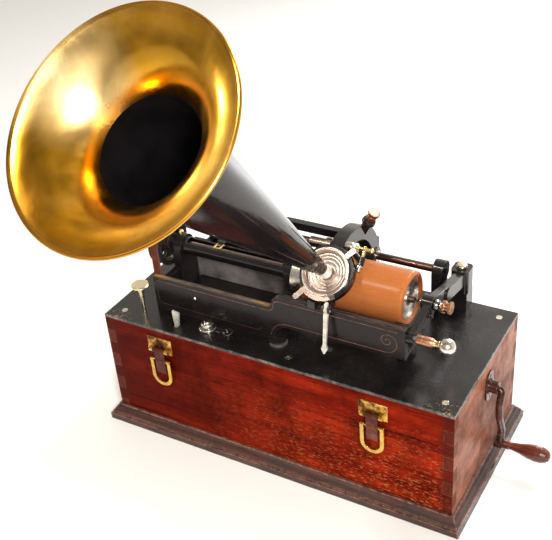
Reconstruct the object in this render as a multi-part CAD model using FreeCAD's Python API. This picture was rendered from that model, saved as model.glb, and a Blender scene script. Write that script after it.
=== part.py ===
"""Wind-up cylinder phonograph: wooden case, spring motor, mandrel mechanism and brass-belled horn.

Millimetres, +Z up.  The origin is the centre of the case's underside, +X runs to the right along
the front and the front faces -Y.  Each piece is one STEP file in parts/.
"""
import FreeCAD
import Part
import math
import os

# ---------------------------------------------------------------- case
CASE_LENGTH = 396.0
CASE_DEPTH = 176.0
WALL = 10.0
BOTTOM_THICKNESS = 10.0
PLATE_TOP = 141.0
PLATE_THICKNESS = 3.0
MOULDING_HEIGHT = 18.5
MOULDING_PROJECTION = 10.5
FINGERS = 8

# ---------------------------------------------------------------- mandrel line (heights above the bedplate)
AXIS_Y = -4.7
AXIS_RISE = 54.0
RECORD_RADIUS = 27.8
RECORD_LEFT = 13.7
RECORD_RIGHT = 121.7
RECORD_WALL_LEFT = 4.4
RECORD_WALL_RIGHT = 5.6
RECORD_GAP = 0.02
MANDREL_LEFT = 0.0
SCREW_CREST = 4.6
SHAFT_RADIUS = 4.0
PULLEY_RADIUS = 23.6
PULLEY_X = -165.0
BELT_WIDTH = 10.0
BELT_THICKNESS = 1.6
BELT_GAP = 0.3

# ---------------------------------------------------------------- bed casting and back rod
BED_FRONT = -55.0
BED_LEFT = -151.0
BED_RIGHT = 135.5
RAIL_THICKNESS = 7.0
RAIL_LOW_TOP = 40.0
RAIL_HIGH_TOP = 53.5
RAIL_UNDERSIDE = 20.0
BACK_WALL_Y = 20.0
BACK_WALL_TOP = 26.0
MIDDLE_WALL_X = -12.0
COVER_RADIUS = 9.6
COVER_BORE = 8.4
ROD_Y = 62.0
ROD_RISE = 48.5
ROD_RADIUS = 4.0
SLEEVE_LEFT = -24.0
SLEEVE_RIGHT = 55.0
SLEEVE_RADIUS = 6.0

# ---------------------------------------------------------------- reproducer and horn
HEAD_X = 45.4
HEAD_Y = -36.0
HEAD_RISE = 84.7
HORN_ELEVATION = 46.0
HORN_SWING = 2.8
HORN_REACH = 350.0
BELL_RADIUS = 88.6
BELL_DEPTH = 39.5
THROAT_RADIUS = 41.5
NECK_RADIUS = 6.8
HORN_WALL = 0.7
RIM_BEAD = 1.5
BELL_START_SLOPE = 22.0
CONE_GORES = 12
BELL_GORES = 12
SPOUT_RADIUS = 5.0
EYE_BORE = 23.0
RING_RADIUS = 24.5
CARRIER_RADIUS = 28.0
LEVER_Y = -60.0
LEVER_RISE = 58.5
LEVER_PIN = 1.2
LEVER_LEAN = 10.0
SHAVER_X = 73.0
SHAVER_Y = -5.5
SHAVER_RISE = 98.5
SET_SCREW_X = 48.0
SET_SCREW_Y = 40.0
SET_SCREW_RISE = 88.0
SET_SCREW_TILT = 30.0

# ---------------------------------------------------------------- end gate
GATE_PIVOT_X = 140.0
GATE_PIVOT_Y = 79.0
GATE_LEFT = 136.0
GATE_RIGHT = 146.0
LATCH_Y = -48.0
LATCH_RISE = 43.0
LATCH_BOSS_RIGHT = 143.0
LATCH_NOSE_RADIUS = 2.2
KNOB_CENTRE_X = 174.0

# ---------------------------------------------------------------- crank and motor
CRANK_Y = 3.0
CRANK_Z = 109.5
CRANK_SHAFT_RADIUS = 5.0
MOTOR_LEFT = -140.0
MOTOR_MIDDLE = -20.0
MOTOR_RIGHT = 60.0
MOTOR_PLATE = 3.0
MOTOR_PLATE_LOW = 12.0
MOTOR_PLATE_HIGH = 131.0
MOTOR_PLATE_HALF_DEPTH = 66.0
PILLARS = ((-61.0, 19.0), (61.0, 19.0), (-58.0, 118.0), (58.0, 118.0))
HANGER_Y = (-45.0, 45.0)
WINDING_MODULE = 1.0
CRANK_PINION_TEETH = 16
WINDING_TEETH = 48
GREAT_TEETH = 96
FIRST_PINION_TEETH = 16
FINE_MODULE = 0.8
SECOND_TEETH = 80
PULLEY_PINION_TEETH = 16
GOVERNOR_WHEEL_TEETH = 60
GOVERNOR_PINION_TEETH = 12
BARREL_Y = 8.6
BARREL_Z = 78.0
BARREL_RADIUS = 37.0
BARREL_LEFT = -5.0
BARREL_RIGHT = 33.0
SPRING_PITCH = 2.6
SPRING_TURNS = 9
SPRING_THICKNESS = 0.8
SECOND_ARBOR_Y = -41.0
GOVERNOR_Y = 22.0
ARBOR_RADIUS = 5.0
PINION_SHAFT_RADIUS = 3.5
GOVERNOR_SHAFT_RADIUS = 2.0
LEAF_THICKNESS = 0.5
RUNNING = 0.05

# ---------------------------------------------------------------- controls on the bedplate (x, y)
SPEED_SCREW = (-163.0, -63.6)
START_KNOB = (-80.0, -65.5)
BRAKE_LEVER = (-116.0, -70.0)
BRAKE_PIVOT_Z = 131.0
PLATE_SCREWS = ((-182, -73), (183, -73), (-182, 73), (183, 73), (20, -73), (20, 73))
CLEAT_DEPTH = 12.0
CLEAT_HEIGHT = 12.0

# ---------------------------------------------------------------- front catches
CATCH_X = (-128.0, 117.5)
CATCH_PLATE_TOP = 130.0
CATCH_PIVOT_Z = 116.0

AXIS_Z = PLATE_TOP + AXIS_RISE
ROD_Z = PLATE_TOP + ROD_RISE
INNER_X = CASE_LENGTH / 2 - WALL
INNER_Y = CASE_DEPTH / 2 - WALL
FRONT_FACE = -CASE_DEPTH / 2
RIGHT_FACE = CASE_LENGTH / 2
PLATE_BASE = PLATE_TOP - PLATE_THICKNESS

X_AXIS = FreeCAD.Vector(1, 0, 0)
Z_AXIS = FreeCAD.Vector(0, 0, 1)


def mesh_height(y0, z0, y, distance, side):
    """Height at y that is the given distance from (y0, z0), above (+1) or below (-1) it."""
    return z0 + side * math.sqrt(distance ** 2 - (y - y0) ** 2)


SECOND_ARBOR_Z = mesh_height(BARREL_Y, BARREL_Z, SECOND_ARBOR_Y,
                             (GREAT_TEETH + FIRST_PINION_TEETH) * WINDING_MODULE / 2, -1)
PULLEY_Z = mesh_height(SECOND_ARBOR_Y, SECOND_ARBOR_Z, AXIS_Y,
                       (SECOND_TEETH + PULLEY_PINION_TEETH) * FINE_MODULE / 2, 1)
GOVERNOR_Z = mesh_height(AXIS_Y, PULLEY_Z, GOVERNOR_Y,
                         (GOVERNOR_WHEEL_TEETH + GOVERNOR_PINION_TEETH) * FINE_MODULE / 2, -1)
HANGER_X = (MOTOR_LEFT + 13, MOTOR_RIGHT - 10)
LEVER_Z = PLATE_TOP + LEVER_RISE
SET_SCREW_LEAN = math.radians(SET_SCREW_TILT)
SET_SCREW_AXIS = FreeCAD.Vector(math.sin(SET_SCREW_LEAN), 0, math.cos(SET_SCREW_LEAN))


# ================================================================ shape helpers
def vec(x, y, z):
    return FreeCAD.Vector(x, y, z)


def box(x0, x1, y0, y1, z0, z1):
    return Part.makeBox(x1 - x0, y1 - y0, z1 - z0, vec(x0, y0, z0))


def rod(start, end, radius):
    """Round bar between two points."""
    axis = end - start
    return Part.makeCylinder(radius, axis.Length, start, axis)


def rod_x(x0, x1, y, z, radius):
    return rod(vec(x0, y, z), vec(x1, y, z), radius)


def rod_z(x, y, z0, z1, radius):
    return rod(vec(x, y, z0), vec(x, y, z1), radius)


def tube_x(x0, x1, y, z, radius, bore):
    return rod_x(x0, x1, y, z, radius).cut(rod_x(x0 - 1, x1 + 1, y, z, bore))


def join(*shapes):
    """One solid from touching or crossing shapes."""
    whole = shapes[0]
    if len(shapes) > 1:
        whole = shapes[0].multiFuse(list(shapes[1:]))
    return whole.removeSplitter()


def minus(shape, *tools):
    for tool in tools:
        shape = shape.cut(tool)
    return shape


def plate_yz(points, x0, x1):
    """Flat plate across X with an outline of (y, z) points."""
    corners = [vec(x0, y, z) for y, z in points]
    face = Part.Face(Part.makePolygon(corners + corners[:1]))
    return face.extrude(vec(x1 - x0, 0, 0))


def limb_yz(start, end, width, x0, x1):
    """Straight limb with round ends in a plane across X."""
    dy = end[0] - start[0]
    dz = end[1] - start[1]
    length = math.hypot(dy, dz)
    ny = -dz / length * width / 2
    nz = dy / length * width / 2
    outline = [(start[0] + ny, start[1] + nz), (end[0] + ny, end[1] + nz),
               (end[0] - ny, end[1] - nz), (start[0] - ny, start[1] - nz)]
    ends = [rod_x(x0, x1, p[0], p[1], width / 2) for p in (start, end)]
    return join(plate_yz(outline, x0, x1), *ends)


def turned(profile, origin, axis):
    """Solid of revolution from a closed (along, radius) outline about an axis through origin."""
    points = [vec(radius, 0, along) for along, radius in profile]
    face = Part.Face(Part.makePolygon(points + points[:1]))
    solid = face.revolve(vec(0, 0, 0), Z_AXIS, 360)
    solid.Placement = FreeCAD.Placement(origin, FreeCAD.Rotation(Z_AXIS, axis))
    return solid


def bent_rod(points, bend, radius):
    """Round bar along straight runs joined by tangent arcs."""
    edges = []
    last = points[0]
    for before, corner, after in zip(points, points[1:], points[2:]):
        back = (before - corner).normalize()
        ahead = (after - corner).normalize()
        half = back.getAngle(ahead) / 2
        reach = bend / math.tan(half)
        enter = corner + back * reach
        leave = corner + ahead * reach
        middle_way = (back + ahead).normalize()
        centre = corner + middle_way * (bend / math.sin(half))
        edges.append(Part.makeLine(last, enter))
        edges.append(Part.Arc(enter, centre - middle_way * bend, leave).toShape())
        last = leave
    edges.append(Part.makeLine(last, points[-1]))
    path = Part.Wire(edges)
    start = points[1] - points[0]
    ring = Part.Wire([Part.makeCircle(radius, points[0], start)])
    return path.makePipeShell([ring], True, True)


def gear(teeth, module, y, z, x0, x1, first_tooth):
    """Spur gear across X.  first_tooth is the angle, from +Y towards +Z, of a tooth's middle."""
    pitch = 2 * math.pi / teeth
    pitch_radius = teeth * module / 2
    tip = pitch_radius + 0.9 * module
    root = pitch_radius - 1.2 * module
    outline = []
    for tooth in range(teeth):
        middle = first_tooth + tooth * pitch
        for share, radius in ((-0.31, root), (-0.11, tip), (0.11, tip), (0.31, root)):
            angle = middle + share * pitch
            outline.append((y + radius * math.cos(angle), z + radius * math.sin(angle)))
    return plate_yz(outline, x0, x1)


def bearing_angle(from_y, from_z, to_y, to_z):
    return math.atan2(to_z - from_z, to_y - from_y)


def meshing_phase(angle_towards, teeth):
    """Tooth angle of a wheel that shows a gap towards its partner."""
    return angle_towards + math.pi / teeth


def countersunk_screw(x, y, z, radius):
    """Slotted flat-head screw whose head top is level with z."""
    shank = radius / 2
    head = turned([(0, 0), (0, radius), (-0.8, radius), (-radius * 0.6, shank), (-9, shank), (-9, 0)],
                  vec(x, y, z), Z_AXIS)
    return head.cut(box(x - radius, x + radius, y - 0.4, y + 0.4, z - 0.7, z + 1))


def countersink(x, y, z, radius):
    shank = radius / 2
    return turned([(1, 0), (1, radius), (-0.8, radius), (-radius * 0.6, shank), (-12, shank), (-12, 0)],
                  vec(x, y, z), Z_AXIS)


# ================================================================ reproducer frame
HEAD = FreeCAD.Placement(
    vec(HEAD_X, HEAD_Y, PLATE_TOP + HEAD_RISE),
    FreeCAD.Rotation(Z_AXIS, -HORN_SWING).multiply(FreeCAD.Rotation(X_AXIS, 90 - HORN_ELEVATION)))


def at_head(shape):
    """Move a shape drawn about the reproducer's face (+Z out along the horn) into place."""
    placed = shape.copy()
    placed.Placement = HEAD.multiply(placed.Placement)
    return placed


def disc(radius, z0, z1, x=0.0, y=0.0):
    return Part.makeCylinder(radius, z1 - z0, vec(x, y, z0))


# ================================================================ pieces
PIECES = {}


def keep(name, *solids):
    """Store a node: one solid, or a group of separate solids of the same kind."""
    if len(solids) == 1:
        PIECES[name] = solids[0]
    else:
        PIECES[name] = Part.makeCompound(list(solids))


# ---------------------------------------------------------------- wooden case
def finger_cuts(x0, x1, y0, y1, first):
    """Alternate finger spaces up one corner of the case."""
    height = (PLATE_BASE - BOTTOM_THICKNESS) / FINGERS
    cuts = []
    for step in range(first, FINGERS, 2):
        low = BOTTOM_THICKNESS + step * height
        cuts.append(box(x0, x1, y0, y1, low, low + height))
    return cuts


def make_case():
    half_x = CASE_LENGTH / 2
    half_y = CASE_DEPTH / 2
    for name, side in (("case_front_panel", -1), ("case_rear_panel", 1)):
        y0, y1 = sorted((side * half_y, side * INNER_Y))
        panel = box(-half_x, half_x, y0, y1, BOTTOM_THICKNESS, PLATE_BASE)
        for end in (-1, 1):
            x0, x1 = sorted((end * half_x, end * INNER_X))
            panel = minus(panel, *finger_cuts(x0, x1, y0 - 1, y1 + 1, 0))
        keep(name, panel)
    for name, side in (("case_left_panel", -1), ("case_right_panel", 1)):
        x0, x1 = sorted((side * half_x, side * INNER_X))
        panel = box(x0, x1, -half_y, half_y, BOTTOM_THICKNESS, PLATE_BASE)
        for end in (-1, 1):
            y0, y1 = sorted((end * half_y, end * INNER_Y))
            panel = minus(panel, *finger_cuts(x0 - 1, x1 + 1, y0, y1, 1))
        if side > 0:
            panel = panel.cut(rod_x(x0 - 1, x1 + 1, CRANK_Y, CRANK_Z, CRANK_SHAFT_RADIUS + 2))
        keep(name, panel)
    keep("case_bottom_board", box(-half_x, half_x, -half_y, half_y, 0, BOTTOM_THICKNESS))
    keep("base_moulding", *moulding_strips(half_x, half_y))


def moulding_strips(half_x, half_y):
    """Four mitred strips with a stepped ogee edge round the foot of the case."""
    strips = []
    p = MOULDING_PROJECTION
    section = [(0, 0), (p, 0), (p, 7.5), (p - 2.2, 8.2), (p - 2.2, 10.5), (p - 4, 12.5), (p - 5.5, 15),
               (p - 8.0, 17.2), (p - 8.0, MOULDING_HEIGHT), (0, MOULDING_HEIGHT)]
    reach = max(half_x, half_y) + 3 * p
    sides = ((0, half_x, half_y), (90, half_y, half_x), (180, half_x, half_y), (270, half_y, half_x))
    for turn, half_run, stand in sides:
        corners = [vec(-reach, -stand - out, up) for out, up in section]
        strip = Part.Face(Part.makePolygon(corners + corners[:1])).extrude(vec(2 * reach, 0, 0))
        mitre = [vec(-half_run, -stand, -1), vec(half_run, -stand, -1),
                 vec(half_run + 2 * p, -stand - 2 * p, -1), vec(-half_run - 2 * p, -stand - 2 * p, -1)]
        wedge = Part.Face(Part.makePolygon(mitre + mitre[:1])).extrude(vec(0, 0, MOULDING_HEIGHT + 2))
        strip = strip.common(wedge)
        strip.rotate(vec(0, 0, 0), Z_AXIS, turn)
        strips.append(strip)
    return strips



def make_cleats():
    cleats = []
    for side in (-1, 1):
        y0, y1 = sorted((side * INNER_Y, side * (INNER_Y - CLEAT_DEPTH)))
        cleat = box(-INNER_X, INNER_X, y0, y1, PLATE_BASE - CLEAT_HEIGHT, PLATE_BASE)
        for x, y in PLATE_SCREWS:
            cleat = cleat.cut(rod_z(x, y, PLATE_BASE - 7, PLATE_BASE + 1, 1.7))
        cleats.append(cleat)
    brake_x = BRAKE_LEVER[0]
    cleats[0] = cleats[0].cut(box(brake_x - 12, brake_x + 12, -INNER_Y - 1, 0, 0, PLATE_BASE + 1))
    cleats[0] = cleats[0].cut(rod_z(START_KNOB[0], START_KNOB[1], 0, PLATE_BASE + 1, 8))
    cleats[0] = cleats[0].cut(rod_z(SPEED_SCREW[0], SPEED_SCREW[1], 0, PLATE_BASE + 1, 8))
    keep("case_cleats", *cleats)


# ---------------------------------------------------------------- bedplate and what is fixed to it
def make_bedplate():
    low = PLATE_BASE - 1
    high = PLATE_TOP + 1
    plate = box(-CASE_LENGTH / 2, CASE_LENGTH / 2, -CASE_DEPTH / 2, CASE_DEPTH / 2, PLATE_BASE, PLATE_TOP)
    for side in (-1, 1):
        middle = AXIS_Y + side * (PULLEY_RADIUS + BELT_GAP + BELT_THICKNESS / 2)
        plate = plate.cut(box(PULLEY_X - 7, PULLEY_X + 7, middle - 3, middle + 3, low, high))
    for x, y in PLATE_SCREWS:
        plate = plate.cut(countersink(x, y, PLATE_TOP, 3.4))
    for x in HANGER_X:
        for y in HANGER_Y:
            plate = plate.cut(countersink(x, y, PLATE_TOP, 4.1))
    plate = plate.cut(rod_z(*SPEED_SCREW, low, high, 2.0 + RUNNING))
    plate = plate.cut(rod_z(*START_KNOB, low, high, 2.5 + RUNNING))
    x, y = BRAKE_LEVER
    plate = plate.cut(box(x - 5, x + 5, y - 7, y + 7, low, high))
    lugs = [box(x + side * 7.5 - 1.5, x + side * 7.5 + 1.5, y - 4, y + 4, BRAKE_PIVOT_Z - 4, PLATE_BASE)
            for side in (-1, 1)]
    pin = rod_x(x - 8, x + 8, y, BRAKE_PIVOT_Z, 1.5)
    keep("bedplate", join(plate, pin, *lugs))
    keep("bedplate_screws", *[countersunk_screw(x, y, PLATE_TOP, 3.3) for x, y in PLATE_SCREWS])


def bed_front_plate():
    """Front of the casting: a low left part, an S step up to the rail, and an arched underside."""
    y = BED_FRONT
    z = PLATE_TOP
    step = (RAIL_HIGH_TOP - RAIL_LOW_TOP) / 2
    rise = z + RAIL_LOW_TOP
    top = z + RAIL_HIGH_TOP
    under = z + RAIL_UNDERSIDE
    arch = RAIL_UNDERSIDE - 4
    lip = 3.0
    root = step * math.sqrt(0.5)
    start = vec(-13, y, rise)
    waist = start + vec(step, 0, step)
    crest = waist + vec(step, 0, step)
    foot = vec(-6, y, z + 4)
    spring = vec(foot.x + arch, y, under)
    corner = vec(BED_RIGHT, y, top)
    edges = [
        Part.makeLine(vec(BED_LEFT, y, z), vec(BED_LEFT, y, rise)),
        Part.makeLine(vec(BED_LEFT, y, rise), start),
        Part.Arc(start, start + vec(root, 0, step - root), waist).toShape(),
        Part.Arc(waist, crest - vec(root, 0, step - root), crest).toShape(),
        Part.makeLine(crest, corner - vec(lip, 0, 0)),
        Part.Arc(corner - vec(lip, 0, 0), corner - vec(lip, 0, lip) * (1 - math.sqrt(0.5)),
                 corner - vec(0, 0, lip)).toShape(),
        Part.makeLine(corner - vec(0, 0, lip), vec(BED_RIGHT, y, under)),
        Part.makeLine(vec(BED_RIGHT, y, under), spring),
        Part.Arc(spring, foot + vec(arch * (1 - math.sqrt(0.5)), 0, arch * math.sqrt(0.5)), foot).toShape(),
        Part.makeLine(foot, vec(foot.x, y, z)),
        Part.makeLine(vec(foot.x, y, z), vec(BED_LEFT, y, z)),
    ]
    return Part.Face(Part.Wire(edges)).extrude(vec(0, RAIL_THICKNESS, 0))


def make_bed():
    z = PLATE_TOP
    rear = ROD_Y + 10
    casting = join(
        bed_front_plate(),
        box(BED_LEFT, BED_LEFT + 7, BED_FRONT, rear, z, z + 30),
        box(BED_LEFT, 60, ROD_Y + 4, rear, z, z + 30),
        box(BED_LEFT, BED_LEFT + 10, AXIS_Y - 12, AXIS_Y + 12, z, AXIS_Z),
        rod_x(BED_LEFT, BED_LEFT + 12, AXIS_Y, AXIS_Z, 12),
        box(BED_LEFT, BED_LEFT + 10, ROD_Y - 9, ROD_Y + 9, z, ROD_Z),
        rod_x(BED_LEFT, BED_LEFT + 12, ROD_Y, ROD_Z, 9),
        box(BED_LEFT, MIDDLE_WALL_X + 7, BACK_WALL_Y, BACK_WALL_Y + 6, z, z + BACK_WALL_TOP),
        box(MIDDLE_WALL_X, MIDDLE_WALL_X + 7, BED_FRONT, BACK_WALL_Y + 6, z, z + 34),
        box(MIDDLE_WALL_X, MIDDLE_WALL_X + 7, AXIS_Y - 12, AXIS_Y + 12, z, AXIS_Z),
        rod_x(MIDDLE_WALL_X - 2, MIDDLE_WALL_X + 9, AXIS_Y, AXIS_Z, 12),
        box(MIDDLE_WALL_X, BED_RIGHT, BED_FRONT, BED_FRONT + 9,
            z + RAIL_HIGH_TOP - 4, z + RAIL_HIGH_TOP).cut(
            box(MIDDLE_WALL_X - 1, 4, BED_FRONT - 1, BED_FRONT + 12, z, z + 60)),
        box(MIDDLE_WALL_X, BED_RIGHT, BED_FRONT, BED_FRONT + 15,
            z + RAIL_UNDERSIDE, z + RAIL_UNDERSIDE + 5),
        box(100, BED_RIGHT, BED_FRONT, -8, z + RAIL_UNDERSIDE, z + RAIL_UNDERSIDE + 5),
        rod_z(120, -18, z, z + RAIL_UNDERSIDE + 2, 8),
        rod_z(120, -18, z, z + 3, 11),
        box(121, BED_RIGHT, BED_FRONT, LATCH_Y + 8, z + LATCH_RISE - 8, z + LATCH_RISE + 8),
        rod_z(-3, BED_FRONT + 0.5, z, z + 4, 9.5))
    casting = minus(
        casting,
        rod_x(BED_LEFT - 1, BED_LEFT + 13, AXIS_Y, AXIS_Z, 6),
        rod_x(MIDDLE_WALL_X - 3, MIDDLE_WALL_X + 10, AXIS_Y, AXIS_Z, SHAFT_RADIUS + RUNNING),
        rod_x(BED_LEFT + 2, BED_LEFT + 13, ROD_Y, ROD_Z, ROD_RADIUS),
        rod_x(BED_RIGHT - 4, BED_RIGHT + 1, LATCH_Y, PLATE_TOP + LATCH_RISE, LATCH_NOSE_RADIUS + 0.3))
    keep("bed_casting", casting)
    bush = join(tube_x(BED_LEFT - 1.5, BED_LEFT + 12, AXIS_Y, AXIS_Z, 6, SHAFT_RADIUS + RUNNING),
                tube_x(BED_LEFT - 1.5, BED_LEFT, AXIS_Y, AXIS_Z, 8.5, SHAFT_RADIUS + RUNNING))
    cup_x = BED_LEFT + 6
    cup = turned([(12, 0), (12, 2), (14, 2), (14, 2.8), (16, 2.8), (17, 1.6), (17, 0)],
                 vec(cup_x, AXIS_Y, AXIS_Z), Z_AXIS)
    keep("bearing_bush", bush, cup)


def make_cover():
    x0 = BED_LEFT + 12
    x1 = MIDDLE_WALL_X - 2
    cover = tube_x(x0, x1, AXIS_Y, AXIS_Z, COVER_RADIUS, COVER_BORE)
    edges = [math.radians(90 + 44), math.radians(90 - 60)]
    reach = COVER_RADIUS * 2
    slot = [(AXIS_Y, AXIS_Z)]
    slot += [(AXIS_Y + reach * math.cos(a), AXIS_Z + reach * math.sin(a)) for a in edges]
    keep("feed_screw_cover", cover.cut(plate_yz(slot, x0 + 4, x1 - 4)))


def make_rod_bracket():
    z = PLATE_TOP
    x = GATE_PIVOT_X
    y = GATE_PIVOT_Y
    bracket = join(
        box(118, 127, ROD_Y - 11, ROD_Y + 11, z, ROD_Z),
        rod_x(118, 129, ROD_Y, ROD_Z, 11),
        box(118, x + 9, y - 9, CASE_DEPTH / 2 - 0.5, z, z + 20),
        box(118, 127, ROD_Y, y, z, z + 20),
        rod_z(x, y, z + 10, z + 46.4, 4),
        rod_z(x, y, z + 46.4, z + 49.5, 5.5))
    bracket = bracket.cut(rod_x(117, 127, ROD_Y, ROD_Z, ROD_RADIUS))
    bracket = bracket.cut(box(x - 6, x + 6, y - 0.6, y + 0.6, z + 48.3, z + 50))
    keep("rod_bracket", bracket)
    keep("back_rod", rod_x(BED_LEFT + 2, 127, ROD_Y, ROD_Z, ROD_RADIUS))


# ---------------------------------------------------------------- mandrel
def make_mandrel():
    pitch = 2.5
    turns = 46
    thread_left = -134.0
    profile = [(-181, 0), (-181, SHAFT_RADIUS), (thread_left, SHAFT_RADIUS)]
    for turn in range(turns):
        x = thread_left + turn * pitch
        profile += [(x + 0.6, SCREW_CREST), (x + 1.4, SCREW_CREST), (x + 2.0, SHAFT_RADIUS),
                    (x + pitch, SHAFT_RADIUS)]
    profile += [(119.5, SHAFT_RADIUS), (124, SHAFT_RADIUS - 1), (124, 2.2), (121.5, 0)]
    keep("feed_screw", turned(profile, vec(0, AXIS_Y, AXIS_Z), X_AXIS))

    def bore_radius(x):
        share = (x - RECORD_LEFT) / (RECORD_RIGHT - RECORD_LEFT)
        return RECORD_RADIUS - RECORD_WALL_LEFT - share * (RECORD_WALL_RIGHT - RECORD_WALL_LEFT)

    end = RECORD_RIGHT - 2.0
    shell = 2.5
    outline = [(MANDREL_LEFT, SHAFT_RADIUS), (MANDREL_LEFT, bore_radius(MANDREL_LEFT)),
               (end, bore_radius(end)),
               (end, bore_radius(end) - 3), (end - 3, bore_radius(end) - 5), (end - 5, 8), (end - 1.5, 7),
               (end - 1.5, SHAFT_RADIUS), (end - 8, SHAFT_RADIUS), (end - 9, bore_radius(end) - shell - 2),
               (MANDREL_LEFT + 4, bore_radius(MANDREL_LEFT) - shell), (MANDREL_LEFT + 4, SHAFT_RADIUS)]
    keep("mandrel", turned(outline, vec(0, AXIS_Y, AXIS_Z), X_AXIS))
    gap = RECORD_GAP
    wax = [(RECORD_LEFT, bore_radius(RECORD_LEFT) + gap), (RECORD_LEFT, RECORD_RADIUS - 1),
           (RECORD_LEFT + 1, RECORD_RADIUS), (RECORD_RIGHT - 2, RECORD_RADIUS),
           (RECORD_RIGHT, RECORD_RADIUS - 2), (RECORD_RIGHT, bore_radius(RECORD_RIGHT) + gap)]
    keep("record_cylinder", turned(wax, vec(0, AXIS_Y, AXIS_Z), X_AXIS))


def belt_pulley(z):
    half = BELT_WIDTH / 2
    rim = PULLEY_RADIUS
    flange = rim + 3.4
    profile = [(-half - 1.5, SHAFT_RADIUS), (-half - 1.5, 9), (-2, 10), (-2, rim - 4),
               (-half - 1.5, rim - 3),
               (-half - 1.5, flange), (-half, flange), (-half, rim), (half, rim), (half, flange),
               (half + 1.5, flange), (half + 1.5, rim - 3), (2, rim - 4), (2, 10), (half + 1.5, 9),
               (half + 1.5, SHAFT_RADIUS)]
    wheel = turned(profile, vec(PULLEY_X, AXIS_Y, z), X_AXIS)
    for turn in range(4):
        angle = math.radians(45 + 90 * turn)
        y = AXIS_Y + 15 * math.cos(angle)
        wheel = wheel.cut(rod_x(PULLEY_X - 8, PULLEY_X + 8, y, z + 15 * math.sin(angle), 3.5))
    return wheel


def belt_loop(radius, x0, x1):
    return join(rod_x(x0, x1, AXIS_Y, AXIS_Z, radius), rod_x(x0, x1, AXIS_Y, PULLEY_Z, radius),
                box(x0, x1, AXIS_Y - radius, AXIS_Y + radius, PULLEY_Z, AXIS_Z))


def make_drive():
    keep("belt_pulley", belt_pulley(AXIS_Z))
    keep("motor_pulley", belt_pulley(PULLEY_Z))
    inner = PULLEY_RADIUS + BELT_GAP
    x0 = PULLEY_X - BELT_WIDTH / 2 + 0.3
    x1 = PULLEY_X + BELT_WIDTH / 2 - 0.3
    keep("drive_belt", belt_loop(inner + BELT_THICKNESS, x0, x1).cut(belt_loop(inner, x0 - 1, x1 + 1)))


# ---------------------------------------------------------------- spring motor
def motor_plate(x, holes):
    plate = box(x, x + MOTOR_PLATE, -MOTOR_PLATE_HALF_DEPTH, MOTOR_PLATE_HALF_DEPTH,
                MOTOR_PLATE_LOW, MOTOR_PLATE_HIGH - 5)
    plate = plate.cut(box(x - 1, x + MOTOR_PLATE + 1, 28, 50, 40, 56))
    for y, z, radius in holes:
        plate = plate.cut(rod_x(x - 1, x + MOTOR_PLATE + 1, y, z, radius + RUNNING))
    return plate


def hanger_feet(x0, x1, plate):
    feet = [box(x0, x1, y - 9, y + 9, MOTOR_PLATE_HIGH - 6, MOTOR_PLATE_HIGH - 3) for y in HANGER_Y]
    return join(plate, *feet)


def make_motor_frame():
    left_x = MOTOR_LEFT
    pulley = (AXIS_Y, PULLEY_Z, PINION_SHAFT_RADIUS)
    second = (SECOND_ARBOR_Y, SECOND_ARBOR_Z, PINION_SHAFT_RADIUS)
    governor = (GOVERNOR_Y, GOVERNOR_Z, GOVERNOR_SHAFT_RADIUS)
    barrel = (BARREL_Y, BARREL_Z, ARBOR_RADIUS)
    crank = (CRANK_Y, CRANK_Z, CRANK_SHAFT_RADIUS)
    left = motor_plate(left_x, (pulley, second, governor))
    middle = motor_plate(MOTOR_MIDDLE, (pulley, second, governor, barrel))
    right = motor_plate(MOTOR_RIGHT, (second, barrel, crank))
    foot = 20
    left = hanger_feet(left_x, left_x + foot, left)
    right = hanger_feet(MOTOR_RIGHT + MOTOR_PLATE - foot, MOTOR_RIGHT + MOTOR_PLATE, right)
    feet_hole = [rod_z(x, y, 100, PLATE_TOP, 2.0) for x in HANGER_X for y in HANGER_Y]
    pillar_hole = [rod_x(left_x - 5, MOTOR_RIGHT + 10, y, z, 4) for y, z in PILLARS]
    keep("motor_plate_left", minus(left, *feet_hole, *pillar_hole))
    keep("motor_plate_middle", minus(middle, *pillar_hole))
    keep("motor_plate_right", minus(right, *feet_hole, *pillar_hole))
    pillars = [join(rod_x(left_x, MOTOR_RIGHT + MOTOR_PLATE, y, z, 4),
                    rod_x(left_x - 2, left_x, y, z, 6),
                    rod_x(MOTOR_RIGHT + MOTOR_PLATE, MOTOR_RIGHT + MOTOR_PLATE + 2, y, z, 6))
               for y, z in PILLARS]
    hangers = []
    for x in HANGER_X:
        for y in HANGER_Y:
            bolt = turned([(0, 0), (0, 4), (-0.8, 4), (-2.4, 1.9), (-18, 1.9), (-18, 0)],
                          vec(x, y, PLATE_TOP), Z_AXIS)
            nut_top = MOTOR_PLATE_HIGH - 6
            hangers.append(join(bolt, rod_z(x, y, nut_top - 3, nut_top, 4)))
            grommet = rod_z(x, y, MOTOR_PLATE_HIGH - 3, PLATE_BASE, 7)
            hangers.append(grommet.cut(rod_z(x, y, 100, PLATE_TOP, 1.95)))
    keep("motor_pillars", *pillars, *hangers)


def spiral_band(y, z, inner, pitch, turns, thickness, x0, x1):
    """Flat spiral of half circles about two centres a quarter pitch either side of the axis."""
    outer_edges = []
    inner_edges = []
    for half in range(2 * turns):
        side = 1 if half % 2 == 0 else -1
        centre = y - side * pitch / 4
        radius = inner + half * pitch / 2
        for edges, r in ((outer_edges, radius + thickness), (inner_edges, radius)):
            start = vec(x0, centre + side * r, z)
            end = vec(x0, centre - side * r, z)
            top = vec(x0, centre, z + side * r)
            edges.append((start, top, end))
    line_in = Part.makeLine(inner_edges[0][0], outer_edges[0][0])
    line_out = Part.makeLine(inner_edges[-1][2], outer_edges[-1][2])
    arcs = [Part.Arc(*points).toShape() for points in outer_edges + inner_edges]
    wire = Part.Wire(Part.__sortEdges__(arcs + [line_in, line_out]))
    return Part.Face(wire).extrude(vec(x1 - x0, 0, 0))


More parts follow.
